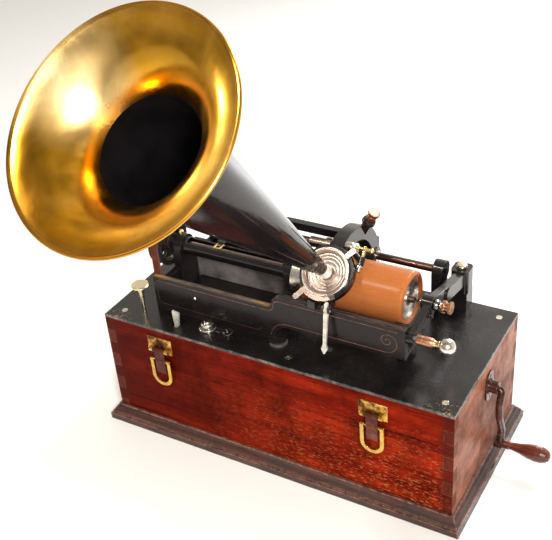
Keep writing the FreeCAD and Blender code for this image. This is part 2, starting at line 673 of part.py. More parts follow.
def make_spring():
    great_x = (BARREL_LEFT - 7, BARREL_LEFT - 1)
    phase = bearing_angle(BARREL_Y, BARREL_Z, SECOND_ARBOR_Y, SECOND_ARBOR_Z)
    wheel = gear(GREAT_TEETH, WINDING_MODULE, BARREL_Y, BARREL_Z, *great_x, phase)
    drum = rod_x(great_x[1] - 0.5, BARREL_RIGHT, BARREL_Y, BARREL_Z, BARREL_RADIUS)
    hollow = rod_x(BARREL_LEFT + 1, BARREL_RIGHT - 2, BARREL_Y, BARREL_Z, BARREL_RADIUS - 2)
    bore = rod_x(great_x[0] - 1, BARREL_RIGHT + 1, BARREL_Y, BARREL_Z, ARBOR_RADIUS + RUNNING)
    keep("spring_barrel", minus(join(wheel, drum), hollow, bore))
    keep("mainspring", spiral_band(BARREL_Y, BARREL_Z, 9.5, SPRING_PITCH, SPRING_TURNS, SPRING_THICKNESS,
                                   BARREL_LEFT + 3, BARREL_RIGHT - 4))
    winding_x = (BARREL_RIGHT + 7, BARREL_RIGHT + 13)
    towards_crank = bearing_angle(BARREL_Y, BARREL_Z, CRANK_Y, CRANK_Z)
    winding = gear(WINDING_TEETH, WINDING_MODULE, BARREL_Y, BARREL_Z, *winding_x, towards_crank)
    arbor = join(rod_x(MOTOR_MIDDLE, MOTOR_RIGHT + MOTOR_PLATE + 2, BARREL_Y, BARREL_Z, ARBOR_RADIUS),
                 rod_x(BARREL_LEFT + 2, BARREL_RIGHT - 3, BARREL_Y, BARREL_Z, 8.5), winding)
    keep("spring_arbor", arbor)
    pinion_phase = meshing_phase(towards_crank + math.pi, CRANK_PINION_TEETH)
    pinion = gear(CRANK_PINION_TEETH, WINDING_MODULE, CRANK_Y, CRANK_Z, winding_x[0] - 1, winding_x[1] + 1,
                  pinion_phase)
    shaft = rod_x(winding_x[0] - 2, RIGHT_FACE + 8, CRANK_Y, CRANK_Z, CRANK_SHAFT_RADIUS)
    keep("crank_shaft", join(shaft, pinion))


def make_train():
    shaft = rod_x(-181, MOTOR_MIDDLE + MOTOR_PLATE, AXIS_Y, PULLEY_Z, PINION_SHAFT_RADIUS)
    seat = rod_x(-181, MOTOR_LEFT - 1, AXIS_Y, PULLEY_Z, SHAFT_RADIUS)
    to_second = bearing_angle(AXIS_Y, PULLEY_Z, SECOND_ARBOR_Y, SECOND_ARBOR_Z)
    to_governor = bearing_angle(AXIS_Y, PULLEY_Z, GOVERNOR_Y, GOVERNOR_Z)
    pinion = gear(PULLEY_PINION_TEETH, FINE_MODULE, AXIS_Y, PULLEY_Z, -38, -28, to_second)
    drive = gear(GOVERNOR_WHEEL_TEETH, FINE_MODULE, AXIS_Y, PULLEY_Z, -132, -129, to_governor)
    keep("pulley_shaft", join(shaft, seat, pinion, drive))
    wheel = gear(SECOND_TEETH, FINE_MODULE, SECOND_ARBOR_Y, SECOND_ARBOR_Z, -35, -31,
                 meshing_phase(to_second + math.pi, SECOND_TEETH))
    to_barrel = bearing_angle(SECOND_ARBOR_Y, SECOND_ARBOR_Z, BARREL_Y, BARREL_Z)
    first = gear(FIRST_PINION_TEETH, WINDING_MODULE, SECOND_ARBOR_Y, SECOND_ARBOR_Z,
                 BARREL_LEFT - 8, BARREL_LEFT,
                 meshing_phase(to_barrel, FIRST_PINION_TEETH))
    arbor = rod_x(MOTOR_LEFT, MOTOR_RIGHT + MOTOR_PLATE, SECOND_ARBOR_Y, SECOND_ARBOR_Z,
                  PINION_SHAFT_RADIUS)
    keep("second_arbor", join(arbor, wheel, first))


def make_governor():
    y = GOVERNOR_Y
    z = GOVERNOR_Z
    to_wheel = bearing_angle(y, z, AXIS_Y, PULLEY_Z)
    pinion = gear(GOVERNOR_PINION_TEETH, FINE_MODULE, y, z, -133, -128,
                  meshing_phase(to_wheel, GOVERNOR_PINION_TEETH))
    fixed = (-116.0, -110.0)
    sliding = (-66.0, -60.0)
    shaft = join(rod_x(MOTOR_LEFT, MOTOR_MIDDLE + MOTOR_PLATE, y, z, GOVERNOR_SHAFT_RADIUS), pinion,
                 rod_x(*fixed, y, z, 5), rod_x(*sliding, y, z, 5), rod_x(-60, -57.5, y, z, 13))
    keep("governor_shaft", shaft)
    weights = []
    middle = (fixed[0] + sliding[1]) / 2
    for turn in range(3):
        ball = Part.makeSphere(4.5, vec(middle, y + 13, z))
        leaves = []
        for x0, out0, x1, out1 in ((fixed[0] + 1, 5.0, middle, 13.0), (middle, 13.0, sliding[1] - 1, 5.0)):
            corners = [vec(x0, y + out0, z - 2), vec(x1, y + out1, z - 2),
                       vec(x1, y + out1 + LEAF_THICKNESS, z - 2), vec(x0, y + out0 + LEAF_THICKNESS, z - 2)]
            leaves.append(Part.Face(Part.makePolygon(corners + corners[:1])).extrude(vec(0, 0, 4)))
        weight = join(ball, *leaves)
        weight.rotate(vec(0, y, z), X_AXIS, 120 * turn)
        weights.append(weight)
    keep("governor_weights", *weights)


# ---------------------------------------------------------------- crank
def make_crank():
    y = CRANK_Y
    z = CRANK_Z
    face = RIGHT_FACE
    plate = limb_yz((y, z - 7), (y, z + 8), 19, face, face + 1.6)
    plate = join(plate, rod_x(face, face + 3, y, z, 8))
    screws = [rod_x(face - 1, face + 4, y, z + side * 12.5, 1.6) for side in (-1, 1)]
    bore = rod_x(face - 1, face + 4, y, z, CRANK_SHAFT_RADIUS + RUNNING)
    keep("crank_escutcheon", minus(plate, bore, *screws))
    arm_x = face + 14
    end = vec(arm_x - 4, 18, 27)
    route = [vec(face + 5, y, z), vec(arm_x, y, z), vec(arm_x, y - 7, z - 13), vec(arm_x, y - 5, z - 32),
             vec(arm_x - 1, y + 9, z - 58), end]
    arm = join(bent_rod(route, 5.0, 3.7), rod_x(face + 3.3, face + 10, y, z, 6.2),
               rod_x(end.x - 5, end.x + 4, end.y, end.z, 5.6),
               rod_x(end.x, end.x + 46, end.y, end.z, 2.5))
    keep("crank_arm", arm.cut(rod_x(0, face + 8, y, z, CRANK_SHAFT_RADIUS)))
    neck = end.x + 4.4
    bore = 2.5 + RUNNING
    profile = [(0, bore), (0, 4.6), (6, 4.6), (6.4, 3.8), (9, 3.9), (17, 5.2), (26, 7.6), (33, 8.6),
               (39, 8.4), (44, 6.8), (47, 4.2), (48.2, 0), (43, 0), (43, bore)]
    keep("crank_handle", turned(profile, vec(neck, end.y, end.z), X_AXIS))


# ---------------------------------------------------------------- carriage
def make_carriage():
    z = PLATE_TOP
    sleeve = join(tube_x(SLEEVE_LEFT, SLEEVE_RIGHT, ROD_Y, ROD_Z, SLEEVE_RADIUS, ROD_RADIUS + RUNNING),
                  tube_x(-5, 2, ROD_Y, ROD_Z, SLEEVE_RADIUS + 2, ROD_RADIUS + RUNNING))
    keep("carriage_sleeve", sleeve)
    x0, x1 = 38.4, 52.4

    def point(y, rise):
        return vec(x0, y, z + rise)

    outer = Part.Arc(point(-13, 98.5), point(24, 102.5), point(71.5, 49)).toShape()
    inner = Part.Arc(point(-2, 86), point(28, 86), point(55, 53)).toShape()
    edges = [outer, Part.makeLine(point(71.5, 49), point(55, 53)), inner,
             Part.makeLine(point(-2, 86), point(-13, 98.5))]
    arch = Part.Face(Part.Wire(Part.__sortEdges__(edges))).extrude(vec(x1 - x0, 0, 0))
    eye = disc(CARRIER_RADIUS, -9.5, -2.6)
    foot = box(36, 44, BED_FRONT - 3, BED_FRONT + 6, z + RAIL_HIGH_TOP + 0.3, z + 62)
    cheeks = []
    for cheek_x in (53.4, 59.4):
        cheeks.append(rod_x(cheek_x, cheek_x + 2.2, LEVER_Y, LEVER_Z, 2.6))
        cheeks.append(box(cheek_x, cheek_x + 2.2, LEVER_Y - 2.6, LEVER_Y + 12, LEVER_Z, LEVER_Z + 4))
    bar_low = z + 57.5
    bar = box(-108, x1, ROD_Y + 1, ROD_Y + 9, bar_low, bar_low + 9)
    bar_end = box(-108, -90, ROD_Y, ROD_Y + 9, z + 42, bar_low + 1)
    nut_arm = box(-103, -94, 0.8, ROD_Y + 4, z + 60.4, z + 63.4)
    screw = vec(SET_SCREW_X, SET_SCREW_Y, z + SET_SCREW_RISE)
    collar = rod(screw, screw + SET_SCREW_AXIS * 17, 5.0)
    arm = join(arch, at_head(eye), foot, *cheeks, bar, bar_end, nut_arm, collar,
               rod_x(36, SLEEVE_RIGHT - 1, ROD_Y, ROD_Z, 9), rod_x(-108, -90, ROD_Y, ROD_Z, 8))
    arm = minus(arm,
                at_head(disc(EYE_BORE, -40, 20)),
                rod_x(30, 60, ROD_Y, ROD_Z, SLEEVE_RADIUS + RUNNING),
                rod_x(-110, -88, ROD_Y, ROD_Z, ROD_RADIUS + 0.4),
                rod_x(53, 62, LEVER_Y, LEVER_Z, LEVER_PIN + RUNNING),
                rod(screw + SET_SCREW_AXIS * 6, screw + SET_SCREW_AXIS * 20, 2.0 + RUNNING))
    keep("carriage_arm", arm)
    frame = box(-103, -94, -9.7, 0.8, z + 60.2, z + 61.6).cut(box(-101, -96, -7.4, -1.5, z + 60, z + 62))
    nut = box(-101.5, -95.5, AXIS_Y + 3.0, AXIS_Y + 5.0, AXIS_Z + SCREW_CREST + 0.3, z + 60.4)
    keep("half_nut", join(frame, nut))
    knob = turned([(9, 0), (9, 2), (17.3, 2), (17.3, 4), (20, 4), (20, 5), (25.5, 5), (26.5, 6), (28.5, 6),
                   (29, 5), (29, 0)], screw, SET_SCREW_AXIS)
    keep("set_screw", knob)


def make_shaver():
    y = SHAVER_Y
    z = PLATE_TOP + SHAVER_RISE
    lean = math.radians(HORN_ELEVATION)
    way = vec(0, -math.sin(lean), -math.cos(lean))
    top = vec(SHAVER_X, y, z)
    boss = rod_x(52.4, 60, y + 2, z - 2, 5)
    holder = rod(top + way * 8, top + way * 19, 3.4)
    tip = rod(top + way * 18, top + way * 23, 2.0)
    bridge = rod(vec(56, y + 2, z - 2), top + way * 13, 2.8)
    body = join(boss, bridge, holder, tip)
    keep("shaver", body.cut(rod(top, top + way * 12, 1.6 + RUNNING)))
    wing = turned([(-9, 0), (-9, 2), (-7.5, 2.6), (-5, 1.8), (5, 1.8), (7.5, 2.6), (9, 2), (9, 0)],
                  top, X_AXIS)
    keep("shaver_screw", join(rod(top - way * 2.5, top + way * 11, 1.6), wing))


def make_lift_lever():
    """Flat lever with a fishtail foot, hung between the cheeks and leaning forward."""
    middle = 57.5
    half_outline = [(1.0, 8.0), (1.7, 6.6), (1.7, -3.4), (2.4, -4.4), (2.1, -9.0), (1.6, -36.0),
                    (3.2, -41.2), (0.6, -46.2)]
    outline = half_outline + [(-x, rise) for x, rise in reversed(half_outline)]
    corners = [vec(middle + x, LEVER_Y - 1.4, LEVER_Z + rise) for x, rise in outline]
    blade = Part.Face(Part.makePolygon(corners + corners[:1])).extrude(vec(0, 2.8, 0))
    lever = join(blade, rod_x(middle - 1.8, middle + 1.8, LEVER_Y, LEVER_Z, 2.6),
                 rod_x(53.4, 61.6, LEVER_Y, LEVER_Z, LEVER_PIN))
    lever.rotate(vec(middle, LEVER_Y, LEVER_Z), X_AXIS, -LEVER_LEAN)
    keep("lift_lever", lever)


# ---------------------------------------------------------------- reproducer
def head_turned(profile):
    return at_head(turned(profile, vec(0, 0, 0), Z_AXIS))


def make_reproducer():
    r = EYE_BORE - RUNNING
    spout = SPOUT_RADIUS
    body = head_turned([(-9, r), (-2.6, r), (-2.6, 19.5), (-4.2, 14), (-5, 8), (-5, spout), (3, spout),
                        (3, spout - 1.4), (-6.6, spout - 1.4), (-6.6, 18.5), (-9, 18.5)])
    lugs = [at_head(box(side * 6.5 - 1.5, side * 6.5 + 1.5, 12.5, 19.5, -14, -8.5)) for side in (-1, 1)]
    pin = at_head(rod_x(-7, 7, 15, -12.3, 0.8))
    keep("reproducer_body", join(body, pin, *lugs))
    keep("diaphragm", head_turned([(-7.6, 0), (-7.6, 18.5), (-7.2, 18.5), (-7.2, 0)]))

    ring = disc(RING_RADIUS, -2.5, 0)
    for x, y, width in ((-21.4, -30.3, 6.0), (21.0, 26.0, 5.6)):
        ring = join(ring, limb_flat((x * 0.6, y * 0.6), (x, y), width, -2.3, -0.3))
    arc_start = math.radians(232)
    arc_end = math.radians(310)
    steps = 14
    radius = 29.0
    angles = [arc_start + (arc_end - arc_start) * k / steps for k in range(steps + 1)]
    sector = [vec(0, 0, -2.4)] + [vec(radius * math.cos(a), radius * math.sin(a), -2.4) for a in angles]
    crescent = Part.Face(Part.makePolygon(sector + sector[:1])).extrude(vec(0, 0, 1.6))
    ring = minus(join(ring, crescent), disc(19.5, -3, 1))
    keep("reproducer_ring", at_head(ring))

    weight = join(disc(12.5, -14, -11.4), rod_x(-4.8, 4.8, 15, -12.3, 1.6),
                  box(-4.8, 4.8, 8, 15, -13.4, -11.6), disc(1.0, -15.6, -14))
    keep("stylus_weight", at_head(weight.cut(rod_x(-6, 6, 15, -12.3, 0.8 + RUNNING))))


def limb_flat(start, end, width, z0, z1):
    """Flat limb with round ends in the plane of the reproducer's face."""
    dx = end[0] - start[0]
    dy = end[1] - start[1]
    length = math.hypot(dx, dy)
    nx = -dy / length * width / 2
    ny = dx / length * width / 2
    corners = [vec(start[0] + nx, start[1] + ny, z0), vec(end[0] + nx, end[1] + ny, z0),
               vec(end[0] - nx, end[1] - ny, z0), vec(start[0] - nx, start[1] - ny, z0)]
    body = Part.Face(Part.makePolygon(corners + corners[:1])).extrude(vec(0, 0, z1 - z0))
    return join(body, disc(width / 2, z0, z1, *start), disc(width / 2, z0, z1, *end))


# ---------------------------------------------------------------- horn
def gores(section, count):
    """Sheet metal of revolution about the horn's axis, in equal gores that meet edge to edge."""
    turn = 360 / count
    gore = section.revolve(vec(0, 0, 0), Z_AXIS, turn)
    pieces = []
    for index in range(count):
        piece = gore.copy()
        piece.rotate(vec(0, 0, 0), Z_AXIS, index * turn)
        pieces.append(at_head(piece))
    return pieces


def make_horn():
    start = 12.0
    throat = HORN_REACH - BELL_DEPTH
    wall = HORN_WALL
    bore = SPOUT_RADIUS + 0.3
    keep("horn_neck", head_turned([(-2, bore), (-2, NECK_RADIUS), (1, NECK_RADIUS + 0.5), (3, NECK_RADIUS),
                                   (start, NECK_RADIUS), (start, bore)]))
    small_end = NECK_RADIUS + 0.2
    corners = [vec(small_end - wall, 0, start), vec(small_end, 0, start), vec(THROAT_RADIUS, 0, throat),
               vec(THROAT_RADIUS - wall, 0, throat)]
    keep("horn_cone", *gores(Part.Face(Part.makePolygon(corners + corners[:1])), CONE_GORES))

    chord = math.hypot(BELL_DEPTH, BELL_RADIUS - THROAT_RADIUS)
    chord_angle = math.atan2(BELL_RADIUS - THROAT_RADIUS, BELL_DEPTH)
    half_turn = chord_angle - math.radians(BELL_START_SLOPE)
    sweep = chord / (2 * math.sin(half_turn))
    centre_along = throat - sweep * math.sin(chord_angle - half_turn)
    centre_radius = THROAT_RADIUS + sweep * math.cos(chord_angle - half_turn)
    first = chord_angle - half_turn - math.pi / 2

    def on_arc(radius, angle):
        return vec(centre_radius + radius * math.sin(angle), 0, centre_along + radius * math.cos(angle))

    def flare(begin, end):
        angles = (begin, (begin + end) / 2, end)
        back = [on_arc(sweep, angle) for angle in angles]
        front = [on_arc(sweep + wall, angle) for angle in angles]
        edges = [Part.Arc(*back).toShape(), Part.makeLine(back[2], front[2]), Part.Arc(*front).toShape(),
                 Part.makeLine(front[0], back[0])]
        return Part.Face(Part.Wire(Part.__sortEdges__(edges)))

    inner_row = gores(flare(first, first + half_turn), BELL_GORES)
    circle = Part.makeCircle(RIM_BEAD, vec(BELL_RADIUS, 0, HORN_REACH), vec(0, 1, 0))
    bead = gores(Part.Face(Part.Wire(circle)), BELL_GORES)
    outer_row = gores(flare(first + half_turn, first + 2 * half_turn), BELL_GORES)
    rim_row = [join(sheet, roll) for sheet, roll in zip(outer_row, bead)]
    keep("horn_bell", *inner_row, *rim_row)


# ---------------------------------------------------------------- end gate
def make_gate():
    z = PLATE_TOP
    x = GATE_PIVOT_X
    y = GATE_PIVOT_Y
    half = 9.5
    block = box(x - half, x + half, y - half, y + half, z + 20.3, z + 46)
    upright = [edge for edge in block.Edges if abs(edge.Vertexes[0].Z - edge.Vertexes[1].Z) > 1]
    block = block.makeFillet(4.5, upright)
    latch_z = z + LATCH_RISE
    lower_right = LATCH_BOSS_RIGHT
    arm = join(
        block,
        limb_yz((y - 3, z + 36), (30, z + 45), 14, x - 4, x + 6),
        limb_yz((30, z + 45), (AXIS_Y, AXIS_Z), 14, x - 4, x + 4),
        rod_x(GATE_LEFT - 3, x + 4, AXIS_Y, AXIS_Z, 8.5),
        limb_yz((AXIS_Y, AXIS_Z), (LATCH_Y, latch_z), 10, x - 4, lower_right),
        rod_x(x - 4.2, lower_right, LATCH_Y, latch_z, 6.5),
        rod_x(lower_right - 1, lower_right + 3, AXIS_Y - 9, AXIS_Z - 7, 2.4))
    arm = minus(arm,
                rod_z(x, y, z, z + 60, 4 + RUNNING),
                rod_x(GATE_LEFT - 5, GATE_RIGHT + 5, AXIS_Y, AXIS_Z, 3 + RUNNING),
                rod_x(GATE_LEFT - 5, GATE_RIGHT + 8, LATCH_Y, latch_z, LATCH_NOSE_RADIUS + RUNNING))
    keep("gate_arm", arm)
    start = x - 15
    keep("centre_screw", turned(
        [(0, 0), (5, 2.6), (5, 3), (19.4, 3), (19.4, 5.2), (21.5, 5.8), (23.5, 5.2), (25, 3), (26, 2.6),
         (27, 2.6),
         (27, 6.4), (30, 6.4), (30, 4.6), (33.5, 4.6), (33.5, 6.4), (36.5, 6.4), (36.5, 0)],
        vec(start, AXIS_Y, AXIS_Z), X_AXIS))
    nose = BED_RIGHT - 3
    shoulder = lower_right + 1.5 - nose
    ball = KNOB_CENTRE_X - nose
    keep("latch_plunger", turned(
        [(0, 0), (0, LATCH_NOSE_RADIUS - 0.6), (0.6, LATCH_NOSE_RADIUS), (shoulder, LATCH_NOSE_RADIUS),
         (shoulder, 4.2), (shoulder + 1, 4.8), (ball - 14.5, 4.8), (ball - 13, 4), (ball - 11, 3),
         (ball - 7.2, 3),
         *[(ball - 8 * math.cos(math.radians(a)), 8 * math.sin(math.radians(a)))
           for a in range(30, 180, 10)],
         (ball + 8, 0)],
        vec(nose, LATCH_Y, latch_z), X_AXIS))


# ---------------------------------------------------------------- controls
def make_controls():
    z = PLATE_TOP
    x, y = SPEED_SCREW
    keep("speed_screw", turned(
        [(-16, 0), (-16, 2), (4, 2), (26, 3.2), (29.5, 5), (30.5, 9.8), (32, 9.8), (32.8, 8.5), (32.8, 0)],
        vec(x, y, z), Z_AXIS))
    x, y = START_KNOB
    knob = turned(
        [(-12, 0), (-12, 2.5), (0.4, 2.5), (0.4, 9), (2.6, 9), (3.4, 8.2), (3.4, 6.6), (7, 6.6), (7.8, 5.6),
         (7.8, 3), (9.6, 2.6), (9.6, 0)], vec(x, y, z), Z_AXIS)
    arm = box(x, x + 24, y - 3, y + 3, z + 0.5, z + 2.5)
    tip = rod_z(x + 24, y, z + 0.5, z + 3.2, 5.5)
    keep("start_knob", join(knob, arm, tip))
    x, y = BRAKE_LEVER
    corners = [vec(x - 2.6, y - 1.5, BRAKE_PIVOT_Z - 4), vec(x + 2.6, y - 1.5, BRAKE_PIVOT_Z - 4),
               vec(x + 2.6, y - 1.5, z), vec(x + 4.4, y - 1.5, z + 13), vec(x - 3.6, y - 1.5, z + 15),
               vec(x - 2.6, y - 1.5, z)]
    lever = Part.Face(Part.makePolygon(corners + corners[:1])).extrude(vec(0, 3, 0))
    lever = join(lever, rod_x(x - 5, x + 5, y, BRAKE_PIVOT_Z, 4))
    keep("brake_lever", lever.cut(rod_x(x - 6, x + 6, y, BRAKE_PIVOT_Z, 1.5 + RUNNING)))


# ---------------------------------------------------------------- front catches
def make_catches():
    face = FRONT_FACE
    pin_y = face - 3.6
    pivot = CATCH_PIVOT_Z
    loop_pivot = pivot - 13
    plates = []
    for side, x in zip(("left", "right"), CATCH_X):
        lugs = [rod_x(x + s * 9.5 - 2, x + s * 9.5 + 2, pin_y, pivot, 2.6) for s in (-1, 1)]
        backs = [box(x + s * 9.5 - 2, x + s * 9.5 + 2, pin_y, face, pivot - 2.6, pivot + 2.6)
                 for s in (-1, 1)]
        plates.append(join(box(x - 15, x + 15, face - 1, face, pivot - 5, CATCH_PLATE_TOP),
                           rod_x(x - 9, x + 9, pin_y, pivot, 1.2), *lugs, *backs))
        tongue = join(rod_x(x - 7, x + 7, pin_y, pivot, 2.4),
                      box(x - 6, x + 6, pin_y - 1.2, pin_y + 1.2, pivot - 29, pivot),
                      rod_x(x - 6, x + 6, pin_y, loop_pivot, 2.4))
        tongue = minus(tongue, rod_x(x - 8, x + 8, pin_y, pivot, 1.2 + RUNNING),
                       rod_x(x - 8, x + 8, pin_y, loop_pivot, 1.2 + RUNNING))
        keep("catch_lever_" + side, tongue)
        keep("catch_loop_" + side, catch_loop(x, pin_y, loop_pivot))
    keep("catch_plates", *plates)


def loop_blank(x, y, z, half_width, top, half_depth):
    """Flat bar whose lower end is round, from 20 below the pin to the given height above it."""
    bottom = z - 20
    return join(box(x - half_width, x + half_width, y - half_depth, y + half_depth, bottom, z + top),
                rod(vec(x, y - half_depth, bottom), vec(x, y + half_depth, bottom), half_width))


def catch_loop(x, y, z):
    """Draw loop: a flat U with a pin across its top."""
    half = 12.5
    band = 4.0
    frame = loop_blank(x, y, z, half, 2, 1.2).cut(loop_blank(x, y, z, half - band, 3, 2))
    ears = [rod_x(x + s * 10.4 - 1.9, x + s * 10.4 + 1.9, y, z, 2.2) for s in (-1, 1)]
    return join(frame, rod_x(x - 11, x + 11, y, z, 1.2), *ears)


# ================================================================ output
def write_parts():
    os.makedirs("parts", exist_ok=True)
    for name, shape in PIECES.items():
        shape.exportStep("parts/" + name + ".step")


make_case()
make_cleats()
make_bedplate()
make_bed()
make_cover()
make_rod_bracket()
make_mandrel()
make_drive()
make_motor_frame()
make_spring()
make_train()
make_governor()
make_crank()
make_carriage()
make_shaver()
make_lift_lever()
make_reproducer()
make_horn()
make_gate()
make_controls()
make_catches()
write_parts()
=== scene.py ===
import math

import bmesh
import bpy
from mathutils import Matrix, Vector


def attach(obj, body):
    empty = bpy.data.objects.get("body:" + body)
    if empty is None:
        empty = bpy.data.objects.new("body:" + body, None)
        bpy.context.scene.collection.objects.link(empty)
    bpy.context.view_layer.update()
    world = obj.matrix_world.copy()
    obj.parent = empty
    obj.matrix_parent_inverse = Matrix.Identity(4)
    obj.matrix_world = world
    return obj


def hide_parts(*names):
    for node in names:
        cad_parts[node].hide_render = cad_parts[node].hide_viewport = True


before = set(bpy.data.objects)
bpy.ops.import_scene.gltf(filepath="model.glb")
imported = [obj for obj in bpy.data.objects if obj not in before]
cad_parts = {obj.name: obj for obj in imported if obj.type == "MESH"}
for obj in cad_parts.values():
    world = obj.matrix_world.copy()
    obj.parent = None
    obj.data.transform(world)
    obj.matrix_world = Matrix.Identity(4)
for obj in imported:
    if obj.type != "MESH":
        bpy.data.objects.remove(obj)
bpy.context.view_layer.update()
MM = 0.001
ON_AXIS = 1e-6
PLATE_TOP = 0.141

# The reproducer's centre, with the horn's axis along its local z.
HEAD_ORIGIN = Vector((0.0454, -0.036, 0.2257))
HORN_ELEVATION = math.radians(46.0)
HORN_SWING = math.radians(2.8)
MANDREL_AXIS = Vector((0.0, -0.0047, 0.195))
X_AXIS = Vector((1, 0, 0))
Z_AXIS = Vector((0, 0, 1))

CAMERA_PLACE = Vector((0.4308, -0.7296, 0.7338))
CAMERA_AZIMUTH = math.radians(32.41)
CAMERA_ELEVATION = math.radians(32.34)
CAMERA_ROLL = math.radians(-4.98)
CAMERA_LENS = 64.52

FLASH_WHITE = (1.0, 0.97, 0.92)
LAMP_YELLOW = (1.0, 0.93, 0.80)
WHITE = (1.0, 1.0, 1.0)
# The direction of the room's soft glow, seen from the machine.
GLOW_DIRECTION = (0.346, -0.742, 0.574)


# ---------------------------------------------------------------- materials
def add_node(tree, kind, inputs=None, **settings):
    """A node whose inputs are set to plain values, or linked where the value is another node's socket."""
    node = tree.nodes.new(kind)
    for key, value in settings.items():
        setattr(node, key, value)
    for key, value in (inputs or {}).items():
        if isinstance(value, bpy.types.NodeSocket):
            tree.links.new(value, node.inputs[key])
        else:
            node.inputs[key].default_value = value
    return node


class Surface:
    """A Principled material whose colour, roughness and relief are built from procedural layers."""

    def __init__(self, name, metallic=0.0, specular=0.5, coat=0.0, coat_roughness=0.1, tint=(1, 1, 1)):
        self.material = bpy.data.materials.new(name)
        self.material.use_nodes = True
        self.tree = self.material.node_tree
        self.shader = self.tree.nodes["Principled BSDF"]
        self.set("Metallic", metallic)
        self.set("Specular IOR Level", specular)
        self.set("Specular Tint", (*tint, 1))
        self.set("Coat Weight", coat)
        self.set("Coat Roughness", coat_roughness)
        self.place = self.add("ShaderNodeTexCoord").outputs["Object"]

    def set(self, socket, value):
        self.shader.inputs[socket].default_value = value

    def add(self, kind, inputs=None, **settings):
        return add_node(self.tree, kind, inputs, **settings)

    def stretched(self, x, y, z):
        return self.add("ShaderNodeMapping", {"Vector": self.place, "Scale": (x, y, z)}).outputs[0]

    def noise(self, vector, scale, detail=4.0, rough=0.55, twist=0.0):
        return self.add("ShaderNodeTexNoise", {"Vector": vector, "Scale": scale, "Detail": detail,
                                               "Roughness": rough, "Distortion": twist}).outputs["Fac"]

    def speckle(self, scale):
        return self.add("ShaderNodeTexVoronoi", {"Vector": self.place, "Scale": scale}).outputs["Distance"]

    def remap(self, value, low, high, to_low=0.0, to_high=1.0):
        return self.add("ShaderNodeMapRange", {"Value": value, "From Min": low, "From Max": high,
                                               "To Min": to_low, "To Max": to_high}).outputs[0]

    def maths(self, operation, a, b=0.0):
        return self.add("ShaderNodeMath", {0: a, 1: b}, operation=operation).outputs[0]

    def times(self, a, b):
        return self.maths("MULTIPLY", a, b)

    def plus(self, a, b):
        return self.maths("ADD", a, b)

    def ramp(self, value, *stops):
        node = self.add("ShaderNodeValToRGB", {"Fac": value})
        elements = node.color_ramp.elements
        while len(elements) < len(stops):
            elements.new(0.5)
        for element, (position, colour) in zip(elements, stops):
            element.position = position
            element.color = (*colour, 1)
        return node.outputs["Color"]

    def mix(self, share, a, b):
        node = self.add("ShaderNodeMix", data_type="RGBA")
        for socket, value in ((node.inputs["Factor"], share), (node.inputs[6], a), (node.inputs[7], b)):
            if isinstance(value, bpy.types.NodeSocket):
                self.tree.links.new(value, socket)
            else:
                socket.default_value = value if isinstance(value, float) else (*value, 1)
        return node.outputs[2]

    def axes(self):
        node = self.add("ShaderNodeSeparateXYZ", {"Vector": self.place})
        return node.outputs[0], node.outputs[1], node.outputs[2]

    def weighted(self, a, share, b):
        return self.plus(self.times(a, share), self.times(b, 1 - share))

    def distance(self, x, y):
        return self.maths("SQRT", self.plus(self.times(x, x), self.times(y, y)))

    def facing(self):
        geometry = self.add("ShaderNodeNewGeometry").outputs["True Normal"]
        local = self.add("ShaderNodeVectorTransform", {"Vector": geometry}, vector_type="NORMAL",
                         convert_from="WORLD", convert_to="OBJECT").outputs[0]
        node = self.add("ShaderNodeSeparateXYZ", {"Vector": local})
        return node.outputs[0], node.outputs[1], node.outputs[2]

    def near(self, value, centre, reach):
        """One at the centre, falling to zero at the given distance from it."""
        away = self.maths("ABSOLUTE", self.maths("SUBTRACT", value, centre))
        return self.remap(away, reach, reach * 0.5)

    def rounded(self, radius):
        return self.add("ShaderNodeBevel", {"Radius": radius}, samples=4).outputs[0]

    def edges(self, radius):
        """A mask of the worn edges, which in some finishes also carry painted highlight: one on an edge,
        broken up by noise.
        """
        flat = self.add("ShaderNodeNewGeometry").outputs["Normal"]
        same = self.add("ShaderNodeVectorMath", {0: self.rounded(radius), 1: flat},
                        operation="DOT_PRODUCT").outputs["Value"]
        edge = self.remap(same, 0.985, 0.86)
        rub = self.remap(self.noise(self.place, 240.0, 3.0), 0.325, 0.675)
        return self.times(edge, rub)

    def join(self, colour, roughness, height=None, relief=0.2, depth=0.0002, corner=0.0):
        """Connects the layers to the shader; corner is the radius that edges are rounded by."""
        self.tree.links.new(colour, self.shader.inputs["Base Color"])
        if isinstance(roughness, float):
            self.set("Roughness", roughness)
        else:
            self.tree.links.new(roughness, self.shader.inputs["Roughness"])
        normal = self.rounded(corner) if corner else None
        if height is not None:
            inputs = {"Height": height, "Strength": relief, "Distance": depth}
            if normal is not None:
                inputs["Normal"] = normal
            normal = self.add("ShaderNodeBump", inputs).outputs[0]
        if normal is not None:
            self.tree.links.new(normal, self.shader.inputs["Normal"])
        return self.material


